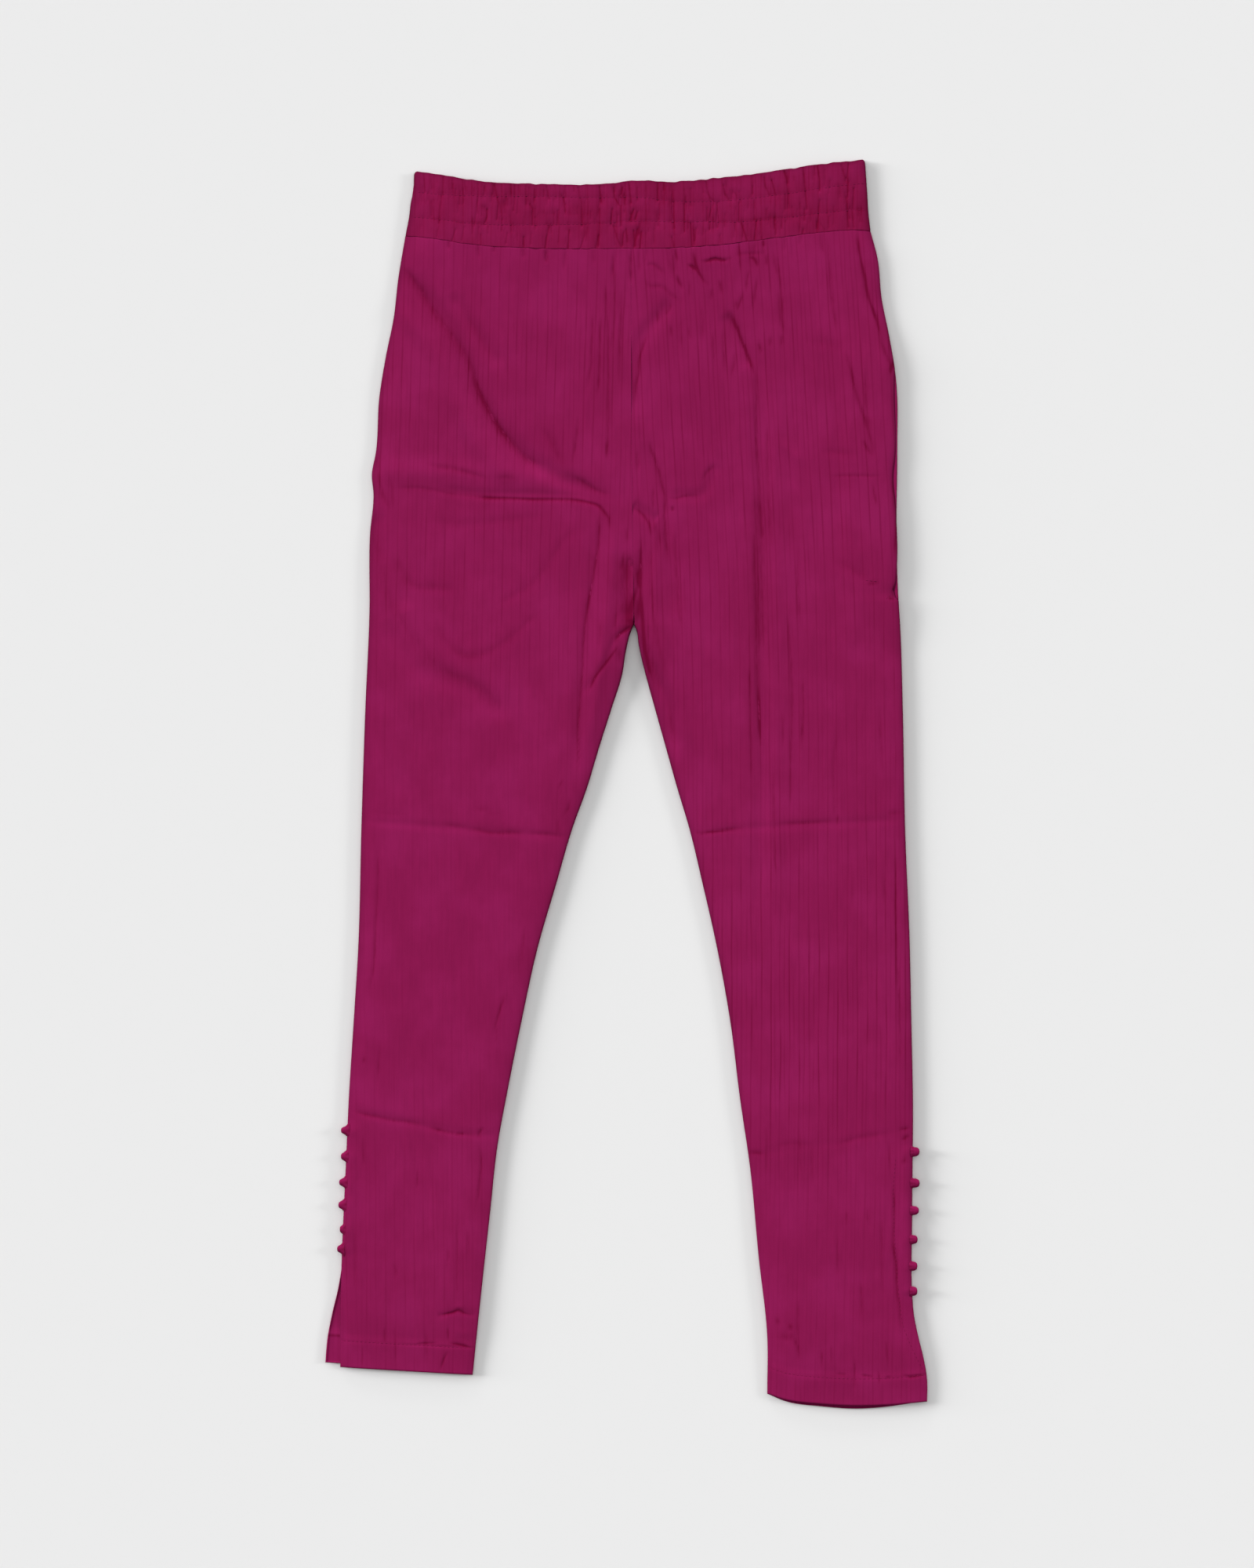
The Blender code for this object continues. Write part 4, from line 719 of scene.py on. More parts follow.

# The waistband's inside, with the painted shade in it and on its rolled foot, its ends and back,
# its grid and its cut
BAND_INSIDE_SHADE = 0.2
BAND_FOOT_SHADE = 0.15
END_RELIEF = 0.25
END_RELIEF_REACH = 7.0
BACK_SINK = PUFF + 0.1
BAND_STRIPES = 0.6
NOMINAL_LEFT = -171.0
NOMINAL_RIGHT = 191.5
NOMINAL_HEIGHT = 54.0
BAND_FRONT_COLUMNS = 740
BAND_BACK_COLUMNS = 240
BAND_END_COLUMNS = 8
BAND_ROWS = 62
BAND_INNER_ROWS = 5
BAND_ROLL_STEPS = 7
BAND_EDGE_RADIUS = 0.45

# Stitches: length, distance from one to the next, thread radius, and the form of one stitch
STITCH_LENGTH = 2.4
STITCH_STEP = 3.3
STITCH_RADIUS = 0.17
STITCH_SINK = 0.3
STITCH_SIDES = 6
STITCH_PROFILE = (
    # share of its length, size, height in radii
    (0.0, 0.35, -1.2), (0.12, 0.9, -0.1), (0.5, 1.0, 0.5), (0.88, 0.9, -0.1), (1.0, 0.35, -1.2),
)
PLACKET_STITCHES = (
    (213, -296), (211, -322), (212, -353), (215, -397), (219, -428), (226, -446), (236, -466),
)
POCKET_TACKS = (
    ((189, 161), (200, 160)),
    ((205, 146), (209, 150), (211, 157)),
)

# Light, floor and camera, in metres and degrees
Sun = namedtuple("Sun", "name share bearing height spread")
KEY_SUN = Sun("key", 0.50, 112.0, 31.0, 20.0)
FLOOR_SUNS = (
    # share of the floor's light, bearing it comes from, height above the floor, spread
    Sun("shadow_long", 0.13, 172.0, 8.5, 13.0),
    Sun("shadow_middle", 0.12, 170.0, 14.0, 12.0),
    Sun("shadow_short", 0.08, 150.0, 13.0, 10.0),
    Sun("shadow_down", 0.025, 112.0, 9.5, 6.0),
    Sun("shadow_left", 0.09, 8.0, 15.0, 10.0),
)
WORLD_SHARE = 0.53
WORLD_LEAN = 0.9
FLOOR_REACH = 12.0
FLOOR_LEVEL = -0.0001
CAMERA_HEIGHT = 3.2
CAMERA_X = 0.00062
CAMERA_SENSOR = 36.0
CLOTH_LEVEL = 0.003
FRAME_HEIGHT = 1.24


# Curves, steps and noise

LATTICE = 128
LATTICE_START = (57.3, 61.7)


def curve_through(table, at):
    """Smooth curve through rows of (position, value), read at the positions asked for."""
    places = np.array([row[0] for row in table], dtype=float)
    values = np.array([row[1] for row in table], dtype=float)
    widths = np.diff(places)
    slopes = np.diff(values) / widths
    tangents = np.empty_like(values)
    tangents[0] = slopes[0]
    tangents[-1] = slopes[-1]
    weighted = slopes[:-1] * widths[1:] + slopes[1:] * widths[:-1]
    tangents[1:-1] = weighted / (widths[1:] + widths[:-1])
    at = np.clip(np.asarray(at, dtype=float), places[0], places[-1])
    index = np.clip(np.searchsorted(places, at, side="right") - 1, 0, len(places) - 2)
    width = widths[index]
    t = (at - places[index]) / width
    start = (1 + 2 * t) * (1 - t) ** 2 * values[index]
    start_turn = t * (1 - t) ** 2 * width * tangents[index]
    end = t * t * (3 - 2 * t) * values[index + 1]
    end_turn = t * t * (1 - t) * width * tangents[index + 1]
    return (start + start_turn) + (end - end_turn)


def smooth_step(value):
    """Rise smoothly from 0 to 1 as the value goes from 0 to 1."""
    share = np.clip(value, 0.0, 1.0)
    return share * share * (3 - 2 * share)


def hump(distance, half_width, power=2):
    """One at no distance, falling to nothing over a few half widths."""
    return np.exp(-(distance / half_width) ** power)


def soft_noise(x, y, spacing, seed):
    """Smooth noise between -1 and 1 on a lattice with the given spacing across and along."""
    lattice = np.random.default_rng(seed).uniform(-1, 1, (LATTICE, LATTICE))
    u = np.asarray(x) / spacing[0] + LATTICE_START[0]
    v = np.asarray(y) / spacing[1] + LATTICE_START[1]
    column = np.floor(u).astype(int)
    row = np.floor(v).astype(int)
    s = smooth_step(u - column)
    t = smooth_step(v - row)

    def between_columns(line):
        first = lattice[line % LATTICE, column % LATTICE]
        second = lattice[line % LATTICE, (column + 1) % LATTICE]
        return first * (1 - s) + second * s

    return between_columns(row) * (1 - t) + between_columns(row + 1) * t


def path_places(points):
    """How far along a path each of its points is."""
    lengths = np.hypot(*np.diff(points, axis=0).T)
    return np.concatenate(([0.0], np.cumsum(lengths)))


def smooth_path(path, steps=5):
    """More points along a path, on a smooth curve through the given ones."""
    points = np.array(path, dtype=float)
    if len(points) < 3:
        return points
    places = path_places(points)
    at = np.linspace(0, places[-1], (len(points) - 1) * steps + 1)
    curves = [curve_through(list(zip(places, points[:, axis])), at) for axis in (0, 1)]
    return np.column_stack(curves)


def along_path(x, y, points):
    """Distance to a path, how far along it the nearest point is, and which side it is passed on."""
    starts = path_places(points)
    distance = np.full(np.shape(x), np.inf)
    place = np.zeros(np.shape(x))
    on_left = np.zeros(np.shape(x), dtype=bool)
    for point, run, start in zip(points, np.diff(points, axis=0), starts):
        length = np.hypot(run[0], run[1])
        from_x = x - point[0]
        from_y = y - point[1]
        share = np.clip((from_x * run[0] + from_y * run[1]) / length ** 2, 0.0, 1.0)
        gap = np.hypot(from_x - share * run[0], from_y - share * run[1])
        nearer = gap < distance
        distance = np.where(nearer, gap, distance)
        place = np.where(nearer, start + share * length, place)
        on_left = np.where(nearer, run[0] * from_y - run[1] * from_x > 0, on_left)
    return distance, place / starts[-1], on_left


def near_path(x, y, points, reach):
    """Which points lie within reach of a path's box."""
    low = points.min(axis=0) - reach
    high = points.max(axis=0) + reach
    return (x > low[0]) & (x < high[0]) & (y > low[1]) & (y < high[1])


def fold_height(x, y, fold_list):
    """Sum of the solids' soft ridges and troughs, each fading out towards the ends of its path."""
    total = np.zeros(np.shape(x))
    for fold in fold_list:
        points = smooth_path(fold.path)
        near = near_path(x, y, points, FOLD_NEAR * fold.width)
        distance, share, _ = along_path(x[near], y[near], points)
        fade = smooth_step(share / FOLD_FADE + FOLD_END_SHARE)
        fade = fade * smooth_step((1 - share) / FOLD_FADE + FOLD_END_SHARE)
        total[near] += fold.height * hump(distance, fold.width) * fade
    return total


def crease_height(x, y, crease_list):
    """Sum of fine creases, uneven along their length, and the painted shade of each point in them.
    """
    total = np.zeros(np.shape(x))
    shade = np.zeros(np.shape(x))
    for number, crease in enumerate(crease_list):
        points = smooth_path(crease.path)
        near = near_path(x, y, points, CREASE_NEAR * max(crease.left, crease.right))
        distance, share, on_left = along_path(x[near], y[near], points)
        width = np.where(on_left, crease.left, crease.right)
        width = np.maximum(width, curve_through(LEAST_CREASE, y[near]))
        length = np.hypot(*np.diff(points, axis=0).T).sum()
        ends = np.minimum(share, 1 - share) * length
        fade = smooth_step(ends / min(CREASE_FADE, CREASE_FADE_SHARE * length))
        waver = soft_noise(x[near], y[near], CREASE_WAVER_SPACING, CREASE_SEED + number)
        uneven = 1 + CREASE_WAVER * waver
        total[near] += crease.depth * (hump(distance, width, CREASE_POWER) * fade * uneven)
        core = hump(distance, width, SHADE_POWER) + SHADE_HALO * hump(distance, SHADE_HALO_WIDTH * width)
        shade[near] += crease.shade * core * fade * uneven
    return total, shade


# Outlines of the leg panels

def left_side(y):
    return curve_through(LEFT_SIDE, y)


def right_side(y):
    return curve_through(RIGHT_SIDE, y)


def right_front_side(y):
    """Side edge of the right front, drawn in along the pocket opening."""
    return right_side(y) - curve_through(POCKET_LIP, y)


def left_back_side(y):
    """Side edge of the left back, flared out below the ankle slit."""
    return left_side(y) - curve_through(BACK_LEFT_FLARE, y)


def right_back_side(y):
    """Side edge of the right back, under the front's flare below the ankle slit."""
    below_slit = smooth_step((BACK_RIGHT_SLIT_TOP - y) / BACK_RIGHT_INSET_REACH)
    return right_side(y) - BACK_RIGHT_INSET * below_slit


def waist_seam(x):
    """Waist seam, puckered by the gathers above it."""
    pucker = soft_noise(x, 0 * np.asarray(x), *PUCKER_NOISE)
    return curve_through(WAIST_SEAM, x) + PUCKER * pucker


def inner_edge(inseam, y):
    """Inner edge of a panel: the centre seam above the crotch, the inseam below it."""
    return np.where(y >= CROTCH_Y, curve_through(CENTRE_SEAM, y), curve_through(inseam, y))


def edge_distance(x, y, side, inseam):
    """Distance from a free edge: the side seam, or the inseam from the crotch down."""
    from_inseam = np.where(y < CROTCH_Y, np.abs(x - curve_through(inseam, y)), np.inf)
    from_crotch = np.hypot(x - CROTCH_X, y - CROTCH_Y)
    return np.minimum(np.abs(x - side(y)), np.minimum(from_inseam, from_crotch))


# Both legs

Leg = namedtuple(
    "Leg",
    "name inward front_side back_side inseam guides back_guides hem back_hem "
    "folds creases buttons flare pocket seed grain stripes",
)
LEFT_LEG = Leg(
    name="left", inward=1, front_side=left_side, back_side=left_back_side, inseam=LEFT_INSEAM,
    guides=LEFT_GUIDES, back_guides=LEFT_BACK_GUIDES, hem=None, back_hem=None, folds=LEFT_FOLDS,
    creases=LEFT_CREASES, buttons=LEFT_BUTTONS, flare=1.0, pocket=False, seed=20,
    grain=LEFT_GRAIN, stripes=LEFT_STRIPES,
)
RIGHT_LEG = Leg(
    name="right", inward=-1, front_side=right_front_side, back_side=right_back_side,
    inseam=RIGHT_INSEAM, guides=RIGHT_GUIDES, back_guides=RIGHT_GUIDES, hem=RIGHT_HEM,
    back_hem=RIGHT_BACK_HEM, folds=RIGHT_FOLDS, creases=RIGHT_CREASES, buttons=RIGHT_BUTTONS,
    flare=0.15, pocket=True, seed=40, grain=RIGHT_GRAIN, stripes=RIGHT_STRIPES,
)


# Grid of a leg panel

def roll_places(radius):
    """Distances from an edge at which the grid lines of its rolled edge stand."""
    angles = np.linspace(0, math.pi / 2, ROLL_STEPS + 1)
    return radius * (1 - np.cos(angles))


def roll_drop(distance, radius):
    """How far a rolled edge lies below the cloth that it ends."""
    share = np.clip(1 - distance / radius, 0.0, 1.0)
    return radius * (1 - np.sqrt(1 - share ** 2))


def inner_roll(y):
    """Radius of a panel's rolled inner edge: small in the centre seam, as at a free edge below."""
    return EDGE_ROLL + (CENTRE_ROLL - EDGE_ROLL) * smooth_step((y - CROTCH_Y) / INNER_ROLL_FADE)


def guide_rows(guides, row_share):
    """Heights of the grid rows at the outer and inner edge, closer together near each guide."""
    outer = []
    inner = []
    for low, high in zip(guides[:-1], guides[1:]):
        count = max(2, round(low.rows_above * row_share))
        steps = np.arange(count) / count
        shares = steps - GUIDE_PULL * np.sin(2 * math.pi * steps)
        outer.extend(low.outer + shares * (high.outer - low.outer))
        inner.extend(low.inner + shares * (high.inner - low.inner))
    outer.append(guides[-1].outer)
    inner.append(guides[-1].inner)
    return np.array(outer), np.array(inner)


def panel_grid(side, inseam, guides, columns, row_share, hem):
    """Grid of x and y over one leg panel, rows from the hem up, columns from its side seam in."""
    outer_y, inner_y = guide_rows(guides, row_share)
    above_hem_roll = outer_y > outer_y[0] + 1.5 * EDGE_ROLL
    keep = above_hem_roll & (outer_y < outer_y[-1] - 2 * SEAM_ROLL)
    low = roll_places(EDGE_ROLL)
    high = roll_places(SEAM_ROLL)[::-1]
    outer_y = np.concatenate((outer_y[0] + low, outer_y[keep], outer_y[-1] - high))
    inner_y = np.concatenate((inner_y[0] + low, inner_y[keep], inner_y[-1] - high))
    outer_x = side(outer_y)
    inner_x = inner_edge(inseam, inner_y)
    inward = np.sign(inner_x[0] - outer_x[0])
    inner_x = inner_x - inward * SEAM_SLIT * (inner_y >= CROTCH_Y - 0.01)
    x_rows = []
    y_rows = []
    from_outer = roll_places(EDGE_ROLL)
    for ox, ix, oy, iy in zip(outer_x, inner_x, outer_y, inner_y):
        width = abs(ix - ox)
        radius = inner_roll(iy)
        from_inner = roll_places(radius)[::-1]
        middle = np.linspace(EDGE_ROLL, width - radius, columns + 1 - 2 * ROLL_STEPS)[1:-1]
        shares = np.concatenate((from_outer, middle, width - from_inner)) / width
        x_rows.append(ox + shares * (ix - ox))
        y_rows.append(oy + shares * (iy - oy))
    x = np.array(x_rows)
    y = np.array(y_rows)
    seam_fade = np.clip(1 - (outer_y[-1] - outer_y) / SEAM_BEND, 0.0, 1.0) ** 2
    y = y + seam_fade[:, None] * (waist_seam(x[-1]) - SEAM_SLIT - y[-1])
    if hem is not None:
        hem_fade = np.clip(1 - (outer_y - outer_y[0]) / HEM_BEND, 0.0, 1.0) ** 2
        y = y + hem_fade[:, None] * (curve_through(hem, x[0]) - y[0])
    return x, y


def rim_drop(x, y):
    """How far the rolled side, inseam, hem and waist edges of a panel lie below its middle."""
    drop = np.maximum(
        roll_drop(np.abs(x - x[:, :1]), EDGE_ROLL),
        roll_drop(np.abs(x - x[:, -1:]), inner_roll(y[:, -1:])),
    )
    drop = np.maximum(drop, roll_drop(y - y[:1], EDGE_ROLL))
    return np.maximum(drop, roll_drop(y[-1:] - y, SEAM_ROLL))


# Heights of the two layers

def hem_share(above_hem):
    """One inside the turned hem, falling to zero just above it."""
    return 1 - smooth_step((above_hem - HEM_DEPTH) / HEM_STEP)


def hem_groove(above_hem, half_width):
    """One on the line of the hem's stitches, falling to zero on both sides."""
    return hump(above_hem - HEM_DEPTH + HEM_STITCH_INSET, half_width)


def pocket_share(x, y):
    """One over the pocket facing, falling to zero round it."""
    along = smooth_step((POCKET_TOP + POCKET_SOFTEN - y) / POCKET_SOFTEN)
    along = along * smooth_step((y - POCKET_FOOT + POCKET_SOFTEN) / POCKET_SOFTEN)
    inside = right_side(y) - x
    return along * smooth_step((POCKET_DEPTH + 2 * POCKET_FADE - inside) / POCKET_FADE)


def back_under(x, y, side, inseam):
    """Underside of a back panel, flat where it rests and curled at its free edges."""
    distance = edge_distance(x, y, side, inseam)
    return BACK_CURL * np.clip(1 - distance / CURL_REACH, 0.0, 1.0) ** 2


def uneven_cloth(x, y, seed):
    """Slight waves of cloth that lies loose, and its crinkle along the grain."""
    total = np.zeros(np.shape(x))
    for height, spacing, number in WAVES:
        total += height * soft_noise(x, y, (spacing, WAVE_STRETCH * spacing), seed + number)
    return total + STREAK_HEIGHT * soft_noise(x, y, STREAK_SPACING, seed + 9)


def seam_gather_creases():
    """Creases that run down from the waist seam where the gathers above pull the cloth."""
    made = []
    for number, (across, length, depth) in enumerate(SEAM_GATHERS):
        top = float(waist_seam(across))
        lean = SEAM_GATHER_LEAN * length * math.sin(2.4 * number)
        path = (
            (across, top + 2),
            (across + 0.4 * lean, top - 0.5 * length),
            (across + lean, top - length),
        )
        made.append(Crease(path, -depth, *SEAM_GATHER_WIDTHS, SEAM_GATHER_SHADE * depth))
    return tuple(made)


def end_press(distance):
    """Share of its height that the waistband keeps at a distance from its outermost line."""
    return 1 - BAND_END_PRESS * (1 - smooth_step(distance / BAND_PRESS_REACH))


def round_end(distance):
    """Height of the waistband's rounded end at a distance from its outermost line."""
    inside = np.clip(distance / BAND_END_RADIUS, 0.0, 1.0)
    return BAND_END_RADIUS * (1 + np.sqrt(1 - (1 - inside) ** 2)) * end_press(distance)


def crotch_rise(x, y):
    """How much higher the cloth stands round the crotch, where it is bunched."""
    away = np.hypot(x - CROTCH_X, y - CROTCH_Y + CROTCH_RISE_BELOW)
    return CROTCH_RISE * hump(away, CROTCH_RISE_REACH)


def button_seats(leg, x, y):
    """Low bumps where the shanks of a leg's buttons lift the cloth."""
    total = 0.0
    for button in leg.buttons:
        from_x = x - (float(leg.front_side(button.y)) + leg.inward * SEAT_INSET)
        total = total + SEAT_HEIGHT * hump(np.hypot(from_x, y - button.y), SEAT_RADIUS)
    return total


def front_top(leg, x, y):
    """Top of a front panel, lofted over the back and creased, and the painted shade in its creases
    and hem groove.
    """
    distance = edge_distance(x, y, leg.front_side, leg.inseam)
    above_hem = y - y[:1]
    rest = BACK_CURL + PANEL_WALL + SEAM_GAP
    loft = FRONT_LOFT * (1 - np.exp(-distance / LOFT_REACH))
    loft = loft * (HEM_LOFT + (1 - HEM_LOFT) * smooth_step(above_hem / HEM_LOFT_REACH))
    fine, shade = crease_height(x, y, leg.creases + seam_gather_creases())
    relief = fold_height(x, y, leg.folds) + fine + uneven_cloth(x, y, leg.seed)
    relief = relief * smooth_step(distance / CURL_REACH + EDGE_FOLD_SHARE)
    floor = PANEL_WALL + CLEARANCE + (HEM_WALL - PANEL_WALL) * hem_share(above_hem)
    floor = np.maximum(floor, rest - distance)
    lift = POCKET_LIFT * pocket_share(x, y) if leg.pocket else 0.0
    under = np.maximum(rest + loft + relief + lift, floor + lift)
    under = under + button_seats(leg, x, y)
    soft_hem = 1 - smooth_step((above_hem - HEM_DEPTH + HEM_SOFTEN) / (2 * HEM_SOFTEN))
    wall = PANEL_WALL + (HEM_WALL - PANEL_WALL) * soft_hem * np.clip(distance / CURL_REACH, 0, 1)
    waver = soft_noise(x, y, GROOVE_WAVER_SPACING, leg.seed + 6)
    uneven = GROOVE_STRENGTH + GROOVE_UNEVENNESS * waver
    groove = hem_groove(above_hem, FRONT_GROOVE_WIDTH) * uneven
    top = under + wall - GROOVE_DEPTH * groove
    top = top - HEM_PRESS * (1 - smooth_step(above_hem / HEM_PRESS_REACH))
    at_hip = smooth_step((y - HIP_FOOT) / HIP_FADE)
    top = top - HIP_PRESS * np.exp(-distance / HIP_PRESS_REACH) * at_hip
    top = top + crotch_rise(x, y)
    near_seam = np.clip(1 - (y[-1:] - y) / SEAM_BLEND_REACH, 0.0, 1.0) ** 1.5
    crown = BAND_CROWN * smooth_step(distance / SEAM_CROWN_REACH)
    band_level = round_end(distance) + crown - SEAM_STEP
    top = top + near_seam * (band_level + fine - top)
    return top, np.maximum(shade, GROOVE_SHADE * groove)


# Meshes

def grid_normals(points, towards):
    """Unit normals of a grid of points, on the side that mostly faces up or down."""
    across = np.gradient(points, axis=1)
    along = np.gradient(points, axis=0)
    normal = np.cross(across, along)
    normal /= np.linalg.norm(normal, axis=2, keepdims=True) + 1e-12
    if np.sign(normal[..., 2].mean()) != towards:
        return -normal, True
    return normal, False


def coarse_lines(count, step):
    """Grid lines of a shell's plain inner side: those of the rolled edges and few between."""
    edge = ROLL_STEPS // 2
    lines = set(range(0, ROLL_STEPS + 1, edge)) | set(range(count - 1 - ROLL_STEPS, count, edge))
    lines |= set(range(ROLL_STEPS, count - ROLL_STEPS, step))
    return sorted(lines)


def new_mesh_object(name, points, faces, material, attributes=()):
    """Mesh object from points in millimetres, with one value for each point by attribute name."""
    mesh = bpy.data.meshes.new(name)
    mesh.from_pydata((np.asarray(points) * MM).tolist(), [], faces)
    mesh.validate()
    mesh.shade_smooth()
    for key, values in attributes:
        layer = mesh.attributes.new(key, "FLOAT", "POINT")
        layer.data.foreach_set("value", np.asarray(values, dtype=np.float32).ravel())
    mesh.materials.append(material)
    made = bpy.data.objects.new(name, mesh)
    bpy.context.scene.collection.objects.link(made)
    return made


def grid_faces(index, flipped):
    """Faces between the lines of a grid of vertex numbers."""
    corners = (index[:-1, :-1], index[:-1, 1:], index[1:, 1:], index[1:, :-1])
    faces = np.stack([corner.ravel() for corner in corners], axis=1)
    return (faces[:, ::-1] if flipped else faces).tolist()


def closed(index, axis):
    """Grid of vertex numbers whose last line is joined to its first."""
    return np.concatenate((index, index.take([0], axis=axis)), axis=axis)


def shell(name, outer, thickness, towards, attributes, inner_step=COARSE_STEP):
    """Closed thin shell of leg cloth: a fine outer side, a coarser inner side, and the rim."""
    normals, flipped = grid_normals(outer, towards)
    inner = outer - normals * thickness[..., None]
    rows, columns = outer.shape[:2]
    row_lines = coarse_lines(rows, inner_step)
    column_lines = coarse_lines(columns, inner_step)
    inner_lines = np.ix_(row_lines, column_lines)
    inner = inner[inner_lines]
    outer_index = np.arange(rows * columns).reshape(rows, columns)
    inner_index = np.arange(inner.shape[0] * inner.shape[1]).reshape(inner.shape[:2])
    inner_index = inner_index + rows * columns
    faces = grid_faces(outer_index, flipped) + grid_faces(inner_index, not flipped)
    rims = (
        (outer_index[0], inner_index[0], column_lines, False),
        (outer_index[-1], inner_index[-1], column_lines, True),
        (outer_index[:, 0], inner_index[:, 0], row_lines, True),
        (outer_index[:, -1], inner_index[:, -1], row_lines, False),
    )
    for fine, coarse, lines, turned in rims:
        fine = fine.tolist()
        coarse = coarse.tolist()
        for segment, (first, last) in enumerate(zip(lines[:-1], lines[1:])):
            fan = [coarse[segment + 1]] + [fine[step] for step in range(last, first - 1, -1)]
            for a, b in zip(fan[:-1], fan[1:]):
                face = (coarse[segment], a, b)
                faces.append(face[::-1] if turned != flipped else face)
    points = np.concatenate((outer.reshape(-1, 3), inner.reshape(-1, 3)))
    both_sides = [
        (key, np.concatenate((values.ravel(), values[inner_lines].ravel())))
        for key, values in attributes
    ]
    return new_mesh_object(name, points, faces, LEG_CLOTH, both_sides)


def stacked(x, y, z):
    return np.stack((x, y, z), axis=-1)


# Materials

# Colours of the cloth: the darker colour that painted shade blends towards, the middle tone, and
# the lighter tone of random patches
DyeAndShade = namedtuple("DyeAndShade", "deep middle light")
LEG_DYE_AND_SHADE = DyeAndShade((0.158, 0.0026, 0.0325), (0.244, 0.0088, 0.0730), (0.262, 0.0110, 0.0880))
BAND_DYE_AND_SHADE = DyeAndShade((0.175, 0.0022, 0.0290), (0.228, 0.0075, 0.0590), (0.250, 0.0098, 0.0770))
THREAD_COLOUR = (0.215, 0.0090, 0.0640)
FLOOR_COLOUR = (0.862, 0.862, 0.862)
SHEEN_COLOUR = (0.75, 0.10, 0.32)

# Crinkle lines: metres from one to the next, how far each wanders, as a share of that, where
# each runs and breaks off, and how strong they are
STRIPE_PITCH = 0.0076
STRIPE_WANDER = 0.55
STRIPE_WAVES = (40.0, 9.0, 2.0)
STRIPE_BREAKS = (7.3, 16.0, 2.0)
STRIPE_EDGES = (0.045, 0.115)
STRIPE_RUNS = (0.42, 0.68)
LEAST_STRIPE = 0.45
LINE_SEED = 3.1
HALF_LINE_SEED = 8.7
HALF_LINE_SHARE = 0.5
LEG_STRIPE_STRENGTH = 0.58
BAND_STRIPE_STRENGTH = 0.42

# Noise of the cloth: how fine it is across and along the grain, and its detail
STREAKS = (900.0, 22.0, 3.0)
DASHES = (260.0, 60.0, 2.0)
CRUMPLE = (650.0, 110.0, 1.0)
WEAVE = (1600.0, 1600.0, 2.0)
MOTTLE_SCALE = 26.0
MOTTLE_TONE = 0.035
STREAK_TONE = 0.03
DASH_TONE = 0.025
WEAVE_TONE = 0.025
MOST_LIGHT = 0.7

# Relief of the weave: depth in metres, strength, and each pattern's share in it
BUMP_DEPTH = 0.0003
BUMP_STRENGTH = 0.35
WEAVE_BUMP = 0.25
LINE_BUMP = 0.6
STREAK_BUMP = 0.5


def opaque(colour, factor=1.0):
    """Colour for a socket, brightened or darkened by a factor."""
    return (*[factor * part for part in colour], 1.0)


class Nodes:
    """Small helper that adds nodes to a material and links or sets their inputs."""

    def __init__(self, material):
        self.tree = material.node_tree

    def add(self, kind, *inputs, output=0, **settings):
        made = self.tree.nodes.new(kind)
        for key, value in settings.items():
            setattr(made, key, value)
        for socket, value in zip(made.inputs, inputs):
            self.put(socket, value)
        return made.outputs[output]

    def put(self, socket, value):
        if isinstance(value, bpy.types.NodeSocket):
            self.tree.links.new(value, socket)
        else:
            socket.default_value = value

    def math(self, operation, *inputs):
        return self.add("ShaderNodeMath", *inputs, operation=operation)

    def times(self, first, second):
        return self.math("MULTIPLY", first, second)

    def plus(self, first, second):
        return self.math("ADD", first, second)

    def minus(self, first, second):
        return self.math("SUBTRACT", first, second)

    def named(self, kind, output, **inputs):
        """Node whose inputs are set by name, with low lines for spaces."""
        made = self.tree.nodes.new(kind)
        for key, value in inputs.items():
            self.put(made.inputs[key.replace("_", " ")], value)
        return made.outputs[output]

    def noise(self, place, scale, detail=2.0):
        return self.named("ShaderNodeTexNoise", "Fac", Vector=place, Scale=scale, Detail=detail)

    def stretched_noise(self, x, y, z, across, along, detail):
        place = self.add("ShaderNodeCombineXYZ", self.times(x, across), self.times(y, along), z)
        return self.noise(place, 1.0, detail)

    def coordinates(self, kind):
        return self.add("ShaderNodeTexCoord", output=kind)

    def split(self, place):
        made = self.tree.nodes.new("ShaderNodeSeparateXYZ")
        self.put(made.inputs[0], place)
        return made.outputs

    def attribute(self, name):
        return self.add("ShaderNodeAttribute", output="Fac", attribute_name=name)

    def scaled(self, colour, factor):
        """Colour times a number near one."""
        made = self.tree.nodes.new("ShaderNodeVectorMath")
        made.operation = "SCALE"
        self.put(made.inputs[0], colour)
        self.put(made.inputs["Scale"], factor)
        return made.outputs[0]

    def ramp(self, value, low, high, to_low=0.0, to_high=1.0):
        return self.add("ShaderNodeMapRange", value, low, high, to_low, to_high,
                        interpolation_type="SMOOTHSTEP")

    def blend(self, share, first, second):
        made = self.tree.nodes.new("ShaderNodeMix")
        made.data_type = "RGBA"
        self.put(made.inputs["Factor"], share)
        self.put(made.inputs["A"], first)
        self.put(made.inputs["B"], second)
        return made.outputs["Result"]


def principled(name, roughness, sheen, specular=0.02):
    """New material with a cloth-like shader; returns it, its helper and its shader."""
    made = bpy.data.materials.new(name)
    made.use_nodes = True
    shader = made.node_tree.nodes["Principled BSDF"]
    shader.inputs["Roughness"].default_value = roughness
    shader.inputs["Specular IOR Level"].default_value = specular
    shader.inputs["Sheen Weight"].default_value = sheen
    shader.inputs["Sheen Roughness"].default_value = 0.5
    shader.inputs["Sheen Tint"].default_value = opaque(SHEEN_COLOUR)
    return made, Nodes(made), shader


